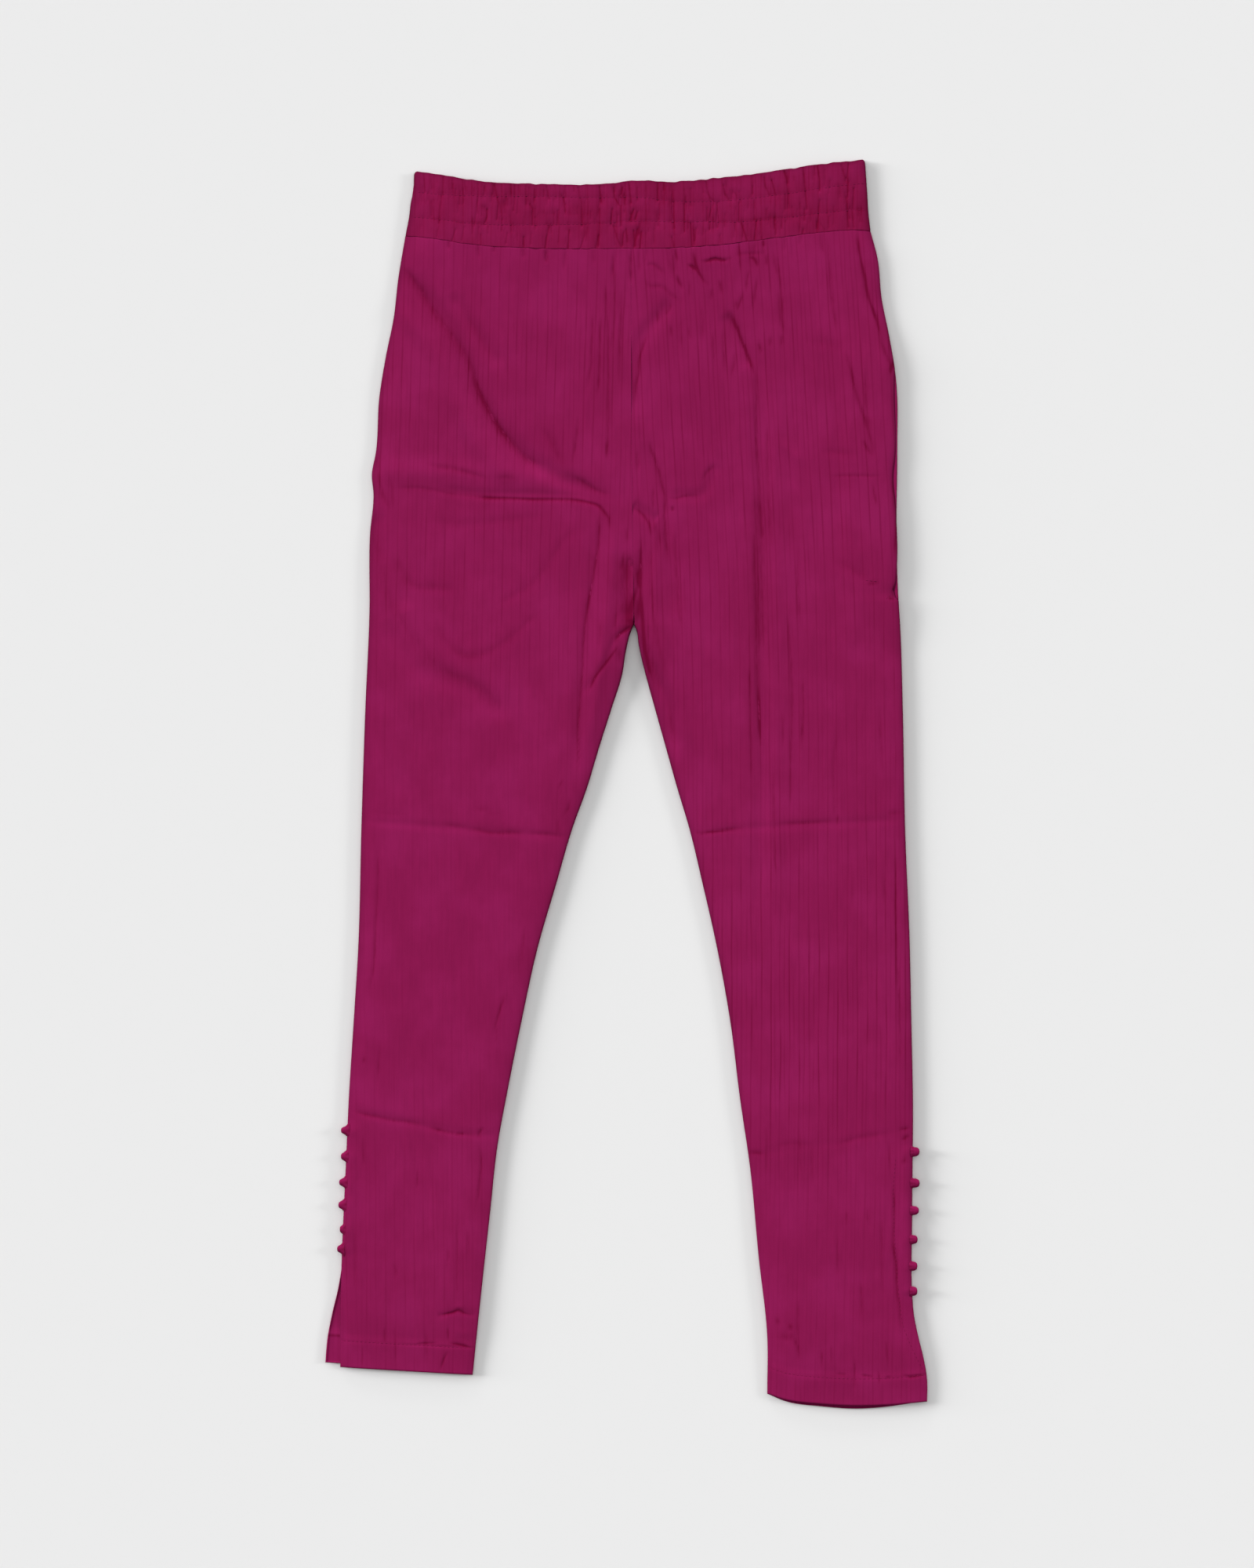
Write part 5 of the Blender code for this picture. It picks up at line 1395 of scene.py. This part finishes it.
def crinkle_lines(nodes, x, y, seed):
    """Thin broken lines along the cloth, one each pitch, and how strong each is where it runs."""
    wander = nodes.stretched_noise(x, y, seed, *STRIPE_WAVES)
    shift = nodes.times(nodes.minus(wander, 0.5), STRIPE_WANDER)
    place = nodes.plus(nodes.math("DIVIDE", x, STRIPE_PITCH), shift)
    number = nodes.math("ROUND", place)
    off = nodes.math("ABSOLUTE", nodes.minus(place, number))
    line = nodes.ramp(off, *STRIPE_EDGES, 1.0, 0.0)
    along = nodes.stretched_noise(number, y, seed, *STRIPE_BREAKS)
    return line, nodes.ramp(along, *STRIPE_RUNS)


def cloth_material(name, dye_and_shade, stripe_strength):
    """Cotton with broken crinkle lines, streaks along its grain, mottled dye, a fine weave, and
    painted shade in its creases and along its rim.
    """
    made, nodes, shader = principled(name, roughness=0.92, sheen=0.03)
    place = nodes.coordinates("Object")
    x, y, z = nodes.split(place)
    grain = nodes.attribute("grain")
    shade = nodes.attribute("shade")

    # Full lines, and weaker ones halfway between them
    line, strength = crinkle_lines(nodes, grain, y, LINE_SEED)
    lines = nodes.times(line, nodes.ramp(strength, 0.0, 1.0, LEAST_STRIPE, 1.0))
    between = nodes.plus(grain, 0.5 * STRIPE_PITCH)
    half_line, half_strength = crinkle_lines(nodes, between, y, HALF_LINE_SEED)
    half_lines = nodes.times(half_line, nodes.times(half_strength, HALF_LINE_SHARE))
    lines = nodes.times(nodes.math("MAXIMUM", lines, half_lines), nodes.attribute("stripes"))

    # Uneven dye
    streaks = nodes.stretched_noise(x, y, z, *STREAKS)
    dashes = nodes.stretched_noise(x, y, z, *DASHES)
    crumple = nodes.stretched_noise(x, y, z, *CRUMPLE)
    weave = nodes.stretched_noise(x, y, z, *WEAVE)
    mottle = nodes.noise(place, MOTTLE_SCALE, 3.0)
    tone = nodes.ramp(mottle, 0.30, 0.70, -MOTTLE_TONE, MOTTLE_TONE)
    for part, amount in ((streaks, STREAK_TONE), (dashes, DASH_TONE), (weave, WEAVE_TONE)):
        tone = nodes.plus(tone, nodes.ramp(part, 0.25, 0.75, -amount, amount))
    lightness = nodes.ramp(mottle, 0.35, 0.75, 0.0, MOST_LIGHT)
    dyed = nodes.blend(lightness, opaque(dye_and_shade.middle), opaque(dye_and_shade.light))
    toned = nodes.scaled(dyed, nodes.plus(tone, 1.0))

    # Painted shade in the creases, gathers and grooves: the darker colour blended in, broken up
    # where they are shallow, and stronger along the crinkle lines there
    broken = nodes.ramp(crumple, 0.3, 0.7, 0.50, 1.05)
    whole = nodes.times(nodes.ramp(shade, 0.40, 0.85), nodes.minus(0.95, broken))
    creased = nodes.times(shade, nodes.plus(broken, whole))
    striped = nodes.times(lines, nodes.math("MULTIPLY_ADD", shade, 0.5, stripe_strength))
    painted = nodes.blend(nodes.plus(striped, creased), toned, opaque(dye_and_shade.deep))
    # Painted shade along the rim of the silhouette
    rim_shade_factor = nodes.math("MULTIPLY_ADD", nodes.attribute("rim_shade"), -RIM_SHADE_DARKNESS, 1.0)
    nodes.put(shader.inputs["Base Color"], nodes.scaled(painted, rim_shade_factor))

    height = nodes.minus(nodes.times(weave, WEAVE_BUMP), nodes.times(lines, LINE_BUMP))
    height = nodes.plus(height, nodes.times(streaks, STREAK_BUMP))
    bump = nodes.named("ShaderNodeBump", "Normal", Strength=BUMP_STRENGTH,
                       Distance=BUMP_DEPTH, Height=height)
    nodes.put(shader.inputs["Normal"], bump)
    return made


def thread_material():
    """Sewing thread with its twist."""
    made, nodes, shader = principled("thread_cotton", roughness=0.6, sheen=0.1)
    twist = nodes.noise(nodes.coordinates("Object"), 2500.0, 1.0)
    colour = nodes.blend(twist, opaque(THREAD_COLOUR, 0.8), opaque(THREAD_COLOUR, 1.15))
    nodes.put(shader.inputs["Base Color"], colour)
    return made


def floor_material():
    """Plain pale paper."""
    made, nodes, shader = principled("pale_paper", roughness=0.95, sheen=0.0, specular=0.0)
    speckle = nodes.noise(nodes.coordinates("Object"), 40.0, 2.0)
    colour = nodes.blend(speckle, opaque(FLOOR_COLOUR, 0.995), opaque(FLOOR_COLOUR))
    nodes.put(shader.inputs["Base Color"], colour)
    return made


LEG_CLOTH = cloth_material("leg_cotton", LEG_DYE_AND_SHADE, LEG_STRIPE_STRENGTH)
BAND_CLOTH = cloth_material("band_cotton", BAND_DYE_AND_SHADE, BAND_STRIPE_STRENGTH)
THREAD = thread_material()


# Leg panels

def cloth_attributes(leg, x, y, shade):
    """Values for each point that the cloth material reads."""
    return (
        ("shade", np.clip(shade, 0.0, MOST_SHADE)),
        ("grain", (x - curve_through(leg.grain, y)) * MM),
        ("stripes", curve_through(leg.stripes, y)),
    )


def panel_thickness(y):
    return CLOTH + (HEM_CLOTH - CLOTH) * hem_share(y - y[:1])


def make_front(leg):
    x, y = panel_grid(leg.front_side, leg.inseam, leg.guides, FRONT_COLUMNS, FRONT_ROWS, leg.hem)
    top, shade = front_top(leg, x, y)
    drop = rim_drop(x, y) * (1 + crotch_rise(x, y) / EDGE_ROLL)
    surface = stacked(x, y, np.maximum(top - drop, EDGE_FOOT))
    distance = edge_distance(x, y, leg.front_side, leg.inseam)
    # Painted shade along the rim of the silhouette, fading towards the hems
    rim_shade = np.interp(y, *np.array(LEG_RIM_SHADE).T) * np.exp(-distance / RIM_SHADE_REACH)
    attributes = cloth_attributes(leg, x, y, shade) + (("rim_shade", rim_shade),)
    made = shell(f"front_{leg.name}_cloth", surface, panel_thickness(y), 1, attributes)
    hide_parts(f"front_{leg.name}")
    return made, surface


def make_back(leg):
    x, y = panel_grid(leg.back_side, leg.inseam, leg.back_guides, BACK_COLUMNS, BACK_ROWS,
                      leg.back_hem)
    under = back_under(x, y, leg.back_side, leg.inseam)
    distance = edge_distance(x, y, leg.back_side, leg.inseam)
    loose = BACK_WAVE * (1 + soft_noise(x, y, BACK_WAVE_SPACING, leg.seed + 5))
    dents = -fold_height(x, y, leg.folds) * BACK_FOLD_SHARE + loose
    dents = np.clip(dents, 0.0, DEEPEST_DENT) * smooth_step(distance / CURL_REACH)
    surface = stacked(x, y, under + dents + rim_drop(x, y))
    # Painted shade along the hem's stitch line, in place of the shadow of the turned hem's edge
    shade = BACK_GROOVE_SHADE * hem_groove(y - y[:1], BACK_GROOVE_WIDTH)
    attributes = cloth_attributes(leg, x, y, shade)
    made = shell(f"back_{leg.name}_cloth", surface, panel_thickness(y), -1, attributes,
                 inner_step=1)
    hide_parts(f"back_{leg.name}")
    return made, surface


def make_facing():
    """Strip of cloth sewn along the pocket opening, which shows past the front's rolled lip."""
    rows = np.linspace(POCKET_FOOT, POCKET_TOP, FACING_ROWS)
    rolled = roll_places(FACING_EDGE)
    middle = np.linspace(2 * FACING_EDGE, POCKET_DEPTH - 2 * FACING_EDGE, FACING_COLUMNS)
    shares = np.concatenate((rolled, middle, POCKET_DEPTH - rolled[::-1]))
    edge = right_side(rows) - FACING_INSET
    x = edge[:, None] - shares[None, :] * (POCKET_DEPTH - FACING_INSET) / POCKET_DEPTH
    y = np.repeat(rows[:, None], len(shares), axis=1)
    from_sides = np.minimum(np.abs(x - x[:, :1]), np.abs(x - x[:, -1:]))
    distance = np.minimum(from_sides, np.minimum(y - rows[0], rows[-1] - y))
    level = PANEL_WALL + SEAM_GAP + FACING_WALL
    curl = back_under(x, y, right_side, RIGHT_INSEAM)
    surface = stacked(x, y, level + curl - roll_drop(distance, FACING_ROLL))
    attributes = cloth_attributes(RIGHT_LEG, x, y, np.zeros(x.shape))
    made = shell("pocket_facing_cloth", surface, np.full(x.shape, CLOTH), 1, attributes)
    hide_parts("pocket_facing")
    return made, surface


# Waistband

def fine_gathers(count, seed):
    """Slight short valleys between the large ones."""
    random = np.random.default_rng(seed)
    made = []
    for _ in range(count):
        across = random.uniform(NOMINAL_LEFT + 5, NOMINAL_RIGHT - 4)
        bottom = float(curve_through(WAIST_SEAM, across))
        start = random.uniform(0, NOMINAL_HEIGHT - 8)
        length = random.uniform(*FINE_GATHER_LENGTHS)
        lean = random.uniform(-FINE_GATHER_LEAN, FINE_GATHER_LEAN) * length
        end = min(start + length, NOMINAL_HEIGHT)
        path = ((across, bottom + start), (across + lean, bottom + end))
        made.append(Gather(path, random.uniform(*FINE_GATHER_STRENGTHS)))
    return tuple(made)


def back_gathers():
    """Valleys spread with chance over the three channels of the back."""
    random = np.random.default_rng(GATHER_SEED)
    made = list(fine_gathers(FINE_GATHERS // 2, GATHER_SEED + 1))
    for low, high in BACK_CHANNELS:
        across = NOMINAL_LEFT + 6.0
        while across < NOMINAL_RIGHT - 4:
            start, end = NOMINAL_HEIGHT * np.sort(random.uniform(low, high, 2))
            if end - start > LEAST_CHANNEL_SHARE * (high - low) * NOMINAL_HEIGHT:
                lean = random.uniform(-BACK_GATHER_LEAN, BACK_GATHER_LEAN)
                bottom = float(curve_through(WAIST_SEAM, across))
                path = ((across, bottom + start), (across + lean, bottom + end))
                made.append(Gather(path, random.uniform(*BACK_GATHER_STRENGTHS)))
            across += random.uniform(*BACK_GATHER_STEPS) * BACK_GATHER_SPACING
    return tuple(made)


BACK_GATHERS = back_gathers()
ALL_FRONT_GATHERS = FRONT_GATHERS + fine_gathers(FINE_GATHERS, GATHER_SEED + 2)


def gather_relief(x, y, share, gather_list):
    """Puffs between the valleys of the gathers, and each point's shade: the dye's random darker
    patches, with painted shade in the valleys and the stitch grooves.
    """
    relief = PUFF_WAVE * soft_noise(x, y, *PUFF_NOISE)
    shade = BAND_SHADE * (1 + soft_noise(x, y, *BAND_SHADE_NOISE))
    shade = shade + BAND_FLECKS * soft_noise(x, y, *BAND_FLECK_NOISE)
    lower = curve_through(LOWER_ROW, x)
    upper = curve_through(UPPER_ROW, x)
    for low, high in ((0 * lower, lower), (lower, upper), (upper, 1 + 0 * upper)):
        within = np.clip((share - low) / (high - low), 0, 1)
        relief += PUFF * np.sin(math.pi * within) ** 0.8
    for number, gather in enumerate(gather_list):
        points = np.array(gather.path, dtype=float)
        near = near_path(x, y, points, GATHER_NEAR)
        distance, _, _ = along_path(x[near], y[near], points)
        waver = soft_noise(x[near], y[near], (5.0, 5.0), GATHER_WAVER_SEED + number)
        core = hump(distance, GATHER_CORE, 1.5) * (1 + GATHER_WAVER * waver)
        spread = hump(distance, GATHER_SPREAD)
        relief[near] -= gather.strength * (GATHER_DEPTHS[0] * core + GATHER_DEPTHS[1] * spread)
        shade[near] += gather.strength * (GATHER_SHADES[0] * core + GATHER_SHADES[1] * spread)
    rows = (lower, upper, FAINT_ROW + 0 * lower, TOP_ROW + 0 * lower)
    for row, depth in zip(rows, ROW_DEPTHS):
        off = (share - row) * NOMINAL_HEIGHT + ROW_WANDER * soft_noise(x, 0 * x, *ROW_NOISE)
        broken = ROW_STRENGTH + ROW_UNEVENNESS * soft_noise(x, 40 * row, *ROW_BREAKS)
        broken = np.clip(broken, 0.0, MOST_ROW_STRENGTH)
        groove = hump(off, ROW_GROOVE_WIDTH)
        relief -= ROW_RELIEF * depth * groove
        shade += depth * broken * (groove + ROW_SHADE_HALO * hump(off, ROW_SHADE_HALO_WIDTH))
    return np.maximum(relief, -DEEPEST_GATHER), shade


def band_crown(share):
    """How much higher the band's front stands than its ends, highest in the middle."""
    return BAND_CROWN * smooth_step(np.minimum(share, 1 - share) / BAND_CROWN_REACH)


def band_end(table, height_share):
    low = table[0][0]
    high = table[-1][0]
    return curve_through(table, low + height_share * (high - low))


def band_surface(share, turn, height_share):
    """Points over the band's outside, the outward directions there, their shade, and the painted
    shade along the rim of the silhouette.

    Share goes from left to right across the band, turn from 0 on its front round an end to 1
    on its back, and the height share from the waist seam to the top edge."""
    left = band_end(BAND_LEFT_END, height_share) + BAND_END_RADIUS
    right = band_end(BAND_RIGHT_END, height_share) - BAND_END_RADIUS
    sideways = np.where(share > 0.5, 1.0, -1.0) * np.sin(math.pi * turn)
    upright = np.cos(math.pi * turn)
    on_front = turn < 0.5
    x = left + share * (right - left) + BAND_END_RADIUS * sideways
    low = waist_seam(x) + SEAM_SLIT
    ruffle = TOP_RUFFLE * soft_noise(x, 0 * x, *TOP_RUFFLE_NOISE)
    high = curve_through(BAND_TOP, x) + ruffle * on_front
    in_from_end = np.minimum(x - left + BAND_END_RADIUS, right + BAND_END_RADIUS - x)
    high = high - roll_drop(in_from_end, BAND_CORNER)
    y = low + height_share * (high - low)
    front_relief, front_shade = gather_relief(x, y, height_share, ALL_FRONT_GATHERS)
    back_relief, back_shade = gather_relief(x, y, height_share, BACK_GATHERS)
    relief = np.where(on_front, front_relief, back_relief)
    shade = np.where(on_front, front_shade, back_shade)
    inside_end = smooth_step((in_from_end - BAND_END_RADIUS) / END_RELIEF_REACH)
    rise = relief * (END_RELIEF + (1 - END_RELIEF) * inside_end)
    swell = np.where(turn < 0.01, band_crown(share), 0.0)
    level = (BAND_END_RADIUS + (BAND_END_RADIUS + swell) * upright) * end_press(in_from_end)
    outward = np.where(turn > 0.6, np.minimum(rise - BACK_SINK, 0.0), rise)
    # Painted shade along the top edge and the ends, where the cloth turns away
    rim_shade = np.maximum(
        np.exp(-(1 - height_share) * NOMINAL_HEIGHT / BAND_RIM_SHADE_REACH),
        np.exp(-in_from_end / BAND_END_RIM_SHADE_REACH),
    )
    direction = stacked(sideways, 0 * upright, upright)
    points = stacked(x, y, level) + direction * outward[..., None]
    return points, direction, np.clip(shade, 0, MOST_BAND_SHADE), rim_shade


def make_waistband():
    """Closed tube of cloth: its outside, its rolled edges and its plain inside."""
    front = np.linspace(0, 1, BAND_FRONT_COLUMNS + 1)
    back = np.linspace(1, 0, BAND_BACK_COLUMNS + 1)
    ends = np.arange(1, BAND_END_COLUMNS + 1) / (BAND_END_COLUMNS + 1)
    share = np.concatenate((front, np.ones(len(ends)), back, np.zeros(len(ends))))
    turn = np.concatenate((0 * front, ends, 0 * back + 1, 1 - ends))
    edge_share = BAND_EDGE_RADIUS / NOMINAL_HEIGHT
    heights = np.linspace(edge_share, 1 - edge_share, BAND_ROWS)
    share_grid, height_grid = np.meshgrid(share, heights)
    turn_grid = np.repeat(turn[None, :], len(heights), axis=0)
    outer, direction, shade, rim_shade = band_surface(share_grid, turn_grid, height_grid)
    up = np.array((0.0, 1.0, 0.0))
    angles = np.linspace(0, math.pi, BAND_ROLL_STEPS + 2)[1:-1]

    def rolled(row, angle, sign):
        centre = outer[row] - direction[row] * BAND_EDGE_RADIUS
        turned = math.cos(angle) * direction[row] + sign * math.sin(angle) * up
        return centre + BAND_EDGE_RADIUS * turned

    layers = list(zip(outer, shade, rim_shade))
    layers += [(rolled(-1, angle, 1), shade[-1], rim_shade[-1]) for angle in angles]
    # The plain inside carries an even painted shade
    for step in np.linspace(0, 1, BAND_INNER_ROWS):
        inside = outer[-1] * (1 - step) + outer[0] * step - direction[0] * (2 * BAND_EDGE_RADIUS)
        layers.append((inside, 0 * shade[0] + BAND_INSIDE_SHADE, 0 * rim_shade[0]))
    # The rolled foot at the waist seam carries more painted shade than the cloth above it
    foot_shade = np.clip(shade[0] + BAND_FOOT_SHADE, 0, 1)
    layers += [(rolled(0, angle, -1), foot_shade, rim_shade[0]) for angle in angles[::-1]]
    points, shades, rim_shades = (np.array(part) for part in zip(*layers))
    index = np.arange(shades.size).reshape(shades.shape)
    flat = points.reshape(-1, 3)
    attributes = (
        ("shade", shades),
        ("rim_shade", rim_shades),
        ("grain", flat[:, 0] * MM),
        ("stripes", np.full(len(flat), BAND_STRIPES)),
    )
    faces = grid_faces(closed(closed(index, 0), 1), False)
    made = new_mesh_object("waistband_cloth", flat, faces, BAND_CLOTH, attributes)
    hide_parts("waistband")
    return made


# Buttons

def make_button(leg, number, button):
    """Cloth drawn over a small ball, pleated towards its foot, which flares into the leg's edge."""
    outward = -leg.inward
    along = np.linspace(0, 1, BUTTON_RINGS)[:, None]
    angle = np.linspace(0, 2 * math.pi, BUTTON_SIDES, endpoint=False)[None, :]
    profile = [(share, radius + leg.flare * more) for share, radius, more in BUTTON_PROFILE]
    radius = curve_through(profile, along)
    random = np.random.default_rng(BUTTON_SEEDS[leg.name] + number)
    phase = random.uniform(0, 6.3)
    pleats = np.cos(BUTTON_PLEATS * angle + phase + 1.2 * np.sin(angle + phase))
    pleats = pleats * smooth_step((along - 0.25) / 0.6) * PLEAT_DEPTH
    across, down = np.broadcast_arrays(angle * 2.0, 8 * along)
    lumps = LUMP_DEPTH * soft_noise(across, down, (1.0, 1.0), LUMP_SEED + number)
    scale = random.uniform(*BUTTON_SCALES)
    wide = scale * radius * (1 + pleats / 2.2 + lumps * (radius > 1.0) / 2.2)
    reach = button.reach + (BUTTON_ROOT - button.reach) * along
    x = float(leg.front_side(button.y)) + outward * reach + 0 * wide
    y = button.y + wide * np.cos(angle)
    z = BUTTON_HEIGHT + np.minimum(0.9 * wide, BUTTON_HALF_HEIGHT) * np.sin(angle)
    points = stacked(x, y, z).reshape(-1, 3)
    index = np.arange(wide.size).reshape(wide.shape)
    faces = grid_faces(closed(index, 1), outward < 0)
    root = index[-1].tolist()
    # Painted shade in the pleats' valleys and towards the root, over a darker tone all over
    shade = BUTTON_SHADE - pleats * PLEAT_SHADE + ROOT_SHADE * along
    faces.append(root[::-1] if outward > 0 else root)
    attributes = (
        ("shade", np.clip(shade, 0, MOST_BUTTON_SHADE)),
        ("grain", points[:, 0] * MM),
        ("stripes", np.zeros(len(points))),
    )
    name = f"button_{leg.name}_{number}"
    made = new_mesh_object(f"{name}_cloth", points, faces, LEG_CLOTH, attributes)
    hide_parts(name)
    return made


# Stitches

def stitch_rings(start, end, normal):
    """Rings of a stitch that dips into the cloth at both ends."""
    run = end - start
    length = np.linalg.norm(run)
    run = run / length
    side = np.cross(normal, run)
    side /= np.linalg.norm(side)
    lift = np.cross(run, side)
    angles = np.linspace(0, 2 * math.pi, STITCH_SIDES, endpoint=False)[:, None]
    rings = []
    for share, size, height in STITCH_PROFILE:
        centre = start + run * length * share + lift * height * STITCH_RADIUS
        around = np.cos(angles) * side + np.sin(angles) * lift
        rings.append(centre + STITCH_RADIUS * size * around)
    return np.array(rings)


def make_stitches(name, stitches):
    """All the stitches of a seam as one mesh; each is its start, end and the cloth's normal."""
    points = []
    faces = []
    for start, end, normal in stitches:
        rings = stitch_rings(start, end, normal)
        index = len(points) + np.arange(rings.size // 3).reshape(rings.shape[:2])
        points.extend(rings.reshape(-1, 3))
        faces += grid_faces(closed(index, 1), False)
        faces.append(index[0, ::-1].tolist())
        faces.append(index[-1].tolist())
    made = new_mesh_object(name, np.array(points), faces, THREAD)
    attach(made, "root")
    return made


def band_stitches():
    """Two rows of stitches through the band, round its front and its back."""
    made = []
    count = int((NOMINAL_RIGHT - NOMINAL_LEFT) / STITCH_STEP)
    for row, offset in ((LOWER_ROW, 0.3), (UPPER_ROW, 0.4)):
        for turn in (0.0, 1.0):
            starts = (np.arange(count) + offset) / count
            shares = np.stack((starts, starts + STITCH_LENGTH / STITCH_STEP / count), axis=1)
            x = NOMINAL_LEFT + shares * (NOMINAL_RIGHT - NOMINAL_LEFT)
            surface = band_surface(shares, turn + 0 * shares, curve_through(row, x))
            points, direction = surface[:2]
            made.extend(zip(points[:, 0], points[:, 1], direction[:, 0]))
    return made


def surface_height(surface, x, y):
    """Height of the nearest points of a cloth's grid."""
    distance = (surface[..., 0] - x) ** 2 + (surface[..., 1] - y) ** 2
    nearest = np.argpartition(distance.ravel(), 3)[:3]
    return float(surface.reshape(-1, 3)[nearest, 2].mean())


def row_stitches(surface, path, towards):
    """Stitches along a path over a cloth's outer surface."""
    points = smooth_path(path, 8)
    places = path_places(points)
    sunk = 0.0 if towards > 0 else STITCH_SINK
    made = []
    for number in range(max(1, int(places[-1] / STITCH_STEP))):
        ends = []
        for at in (number * STITCH_STEP, number * STITCH_STEP + STITCH_LENGTH):
            x, y = (float(np.interp(at, places, points[:, axis])) for axis in (0, 1))
            ends.append(np.array((x, y, surface_height(surface, x, y) + sunk)))
        made.append((*ends, np.array((0.0, 0.0, float(towards)))))
    return made


def hem_path(surface):
    """Line of stitches just below the top of the turned hem."""
    columns = np.linspace(ROLL_STEPS + 2, surface.shape[1] - ROLL_STEPS - 3, 12).astype(int)
    up = np.array((0.0, HEM_DEPTH))
    return [surface[0, column, :2] + up - (0.0, HEM_STITCH_INSET) for column in columns]


# Light, floor and camera

def make_stage():
    corners = [
        (across * FLOOR_REACH, along * FLOOR_REACH, FLOOR_LEVEL)
        for across, along in ((-1, -1), (1, -1), (1, 1), (-1, 1))
    ]
    mesh = bpy.data.meshes.new("floor")
    mesh.from_pydata(corners, [], [(0, 1, 2, 3)])
    mesh.materials.append(floor_material())
    floor = bpy.data.objects.new("floor", mesh)
    bpy.context.scene.collection.objects.link(floor)
    return floor


def add_sun(sun, receivers):
    """Sun that gives a level surface its share of full light, on the receiving objects only."""
    height = math.radians(sun.height)
    light = bpy.data.lights.new(sun.name, "SUN")
    light.energy = sun.share * math.pi / math.sin(height)
    light.angle = math.radians(sun.spread)
    made = bpy.data.objects.new(sun.name, light)
    made.rotation_euler = (0.0, math.pi / 2 - height, math.radians(sun.bearing))
    made.light_linking.receiver_collection = receivers
    bpy.context.scene.collection.objects.link(made)


def receivers_of(name, objects):
    """Collection of the objects that some of the suns shine on."""
    made = bpy.data.collections.new(name)
    for receiver in objects:
        made.objects.link(receiver)
    return made


def make_light(floor, garment):
    """Pale sky, brighter towards the waistband, and separate suns for the floor and the cloth."""
    world = bpy.data.worlds.new("studio")
    world.use_nodes = True
    background = world.node_tree.nodes["Background"]
    background.inputs["Color"].default_value = (1.0, 1.0, 1.0, 1.0)
    nodes = Nodes(world)
    up_the_photo = nodes.split(nodes.coordinates("Generated"))[1]
    strength = nodes.math("MULTIPLY_ADD", up_the_photo, WORLD_LEAN * WORLD_SHARE, WORLD_SHARE)
    nodes.put(background.inputs["Strength"], strength)
    bpy.context.scene.world = world
    add_sun(KEY_SUN, receivers_of("lit_garment", garment))
    on_floor = receivers_of("lit_floor", [floor])
    for sun in FLOOR_SUNS:
        add_sun(sun, on_floor)


def make_camera():
    """Camera straight above, framed as the photo is at 0.62 mm a pixel."""
    data = bpy.data.cameras.new("camera")
    data.sensor_width = CAMERA_SENSOR
    data.lens = CAMERA_SENSOR * (CAMERA_HEIGHT - CLOTH_LEVEL) / FRAME_HEIGHT
    data.clip_start = 0.1
    data.clip_end = 20.0
    camera = bpy.data.objects.new("camera", data)
    camera.location = (CAMERA_X, 0.0, CAMERA_HEIGHT)
    bpy.context.scene.collection.objects.link(camera)
    bpy.context.scene.camera = camera


# Everything together


def make_legs():
    """Both legs' panels and the stitches in their hems."""
    made = []
    for leg in (LEFT_LEG, RIGHT_LEG):
        front, front_surface = make_front(leg)
        back, back_surface = make_back(leg)
        stitches = row_stitches(front_surface, hem_path(front_surface), 1)
        more_paths = (PLACKET_STITCHES, *POCKET_TACKS) if leg.pocket else ()
        for path in more_paths:
            stitches += row_stitches(front_surface, path, 1)
        front_thread = make_stitches(f"stitches_front_{leg.name}", stitches)
        hem_stitches = row_stitches(back_surface, hem_path(back_surface), -1)
        back_thread = make_stitches(f"stitches_back_{leg.name}", hem_stitches)
        made += [front, back]
    return made


def build():
    slots = [(piece, "leg_cotton") for piece in make_legs()]
    facing, facing_surface = make_facing()
    slots.append((facing, "leg_cotton"))
    waistband = make_waistband()
    thread = make_stitches("stitches_waistband", band_stitches())
    slots.append((waistband, "band_cotton"))
    for leg in (LEFT_LEG, RIGHT_LEG):
        for number, button in enumerate(leg.buttons, start=1):
            slots.append((make_button(leg, number, button), "button_cotton"))
    for piece, slot in slots:
        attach(piece, "root")
    meshes = [made for made in bpy.context.scene.collection.objects if made.type == "MESH"]
    garment = [made for made in meshes if made.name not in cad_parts]
    make_light(make_stage(), garment)
    make_camera()
    bpy.context.scene.view_settings.view_transform = "Standard"


build()
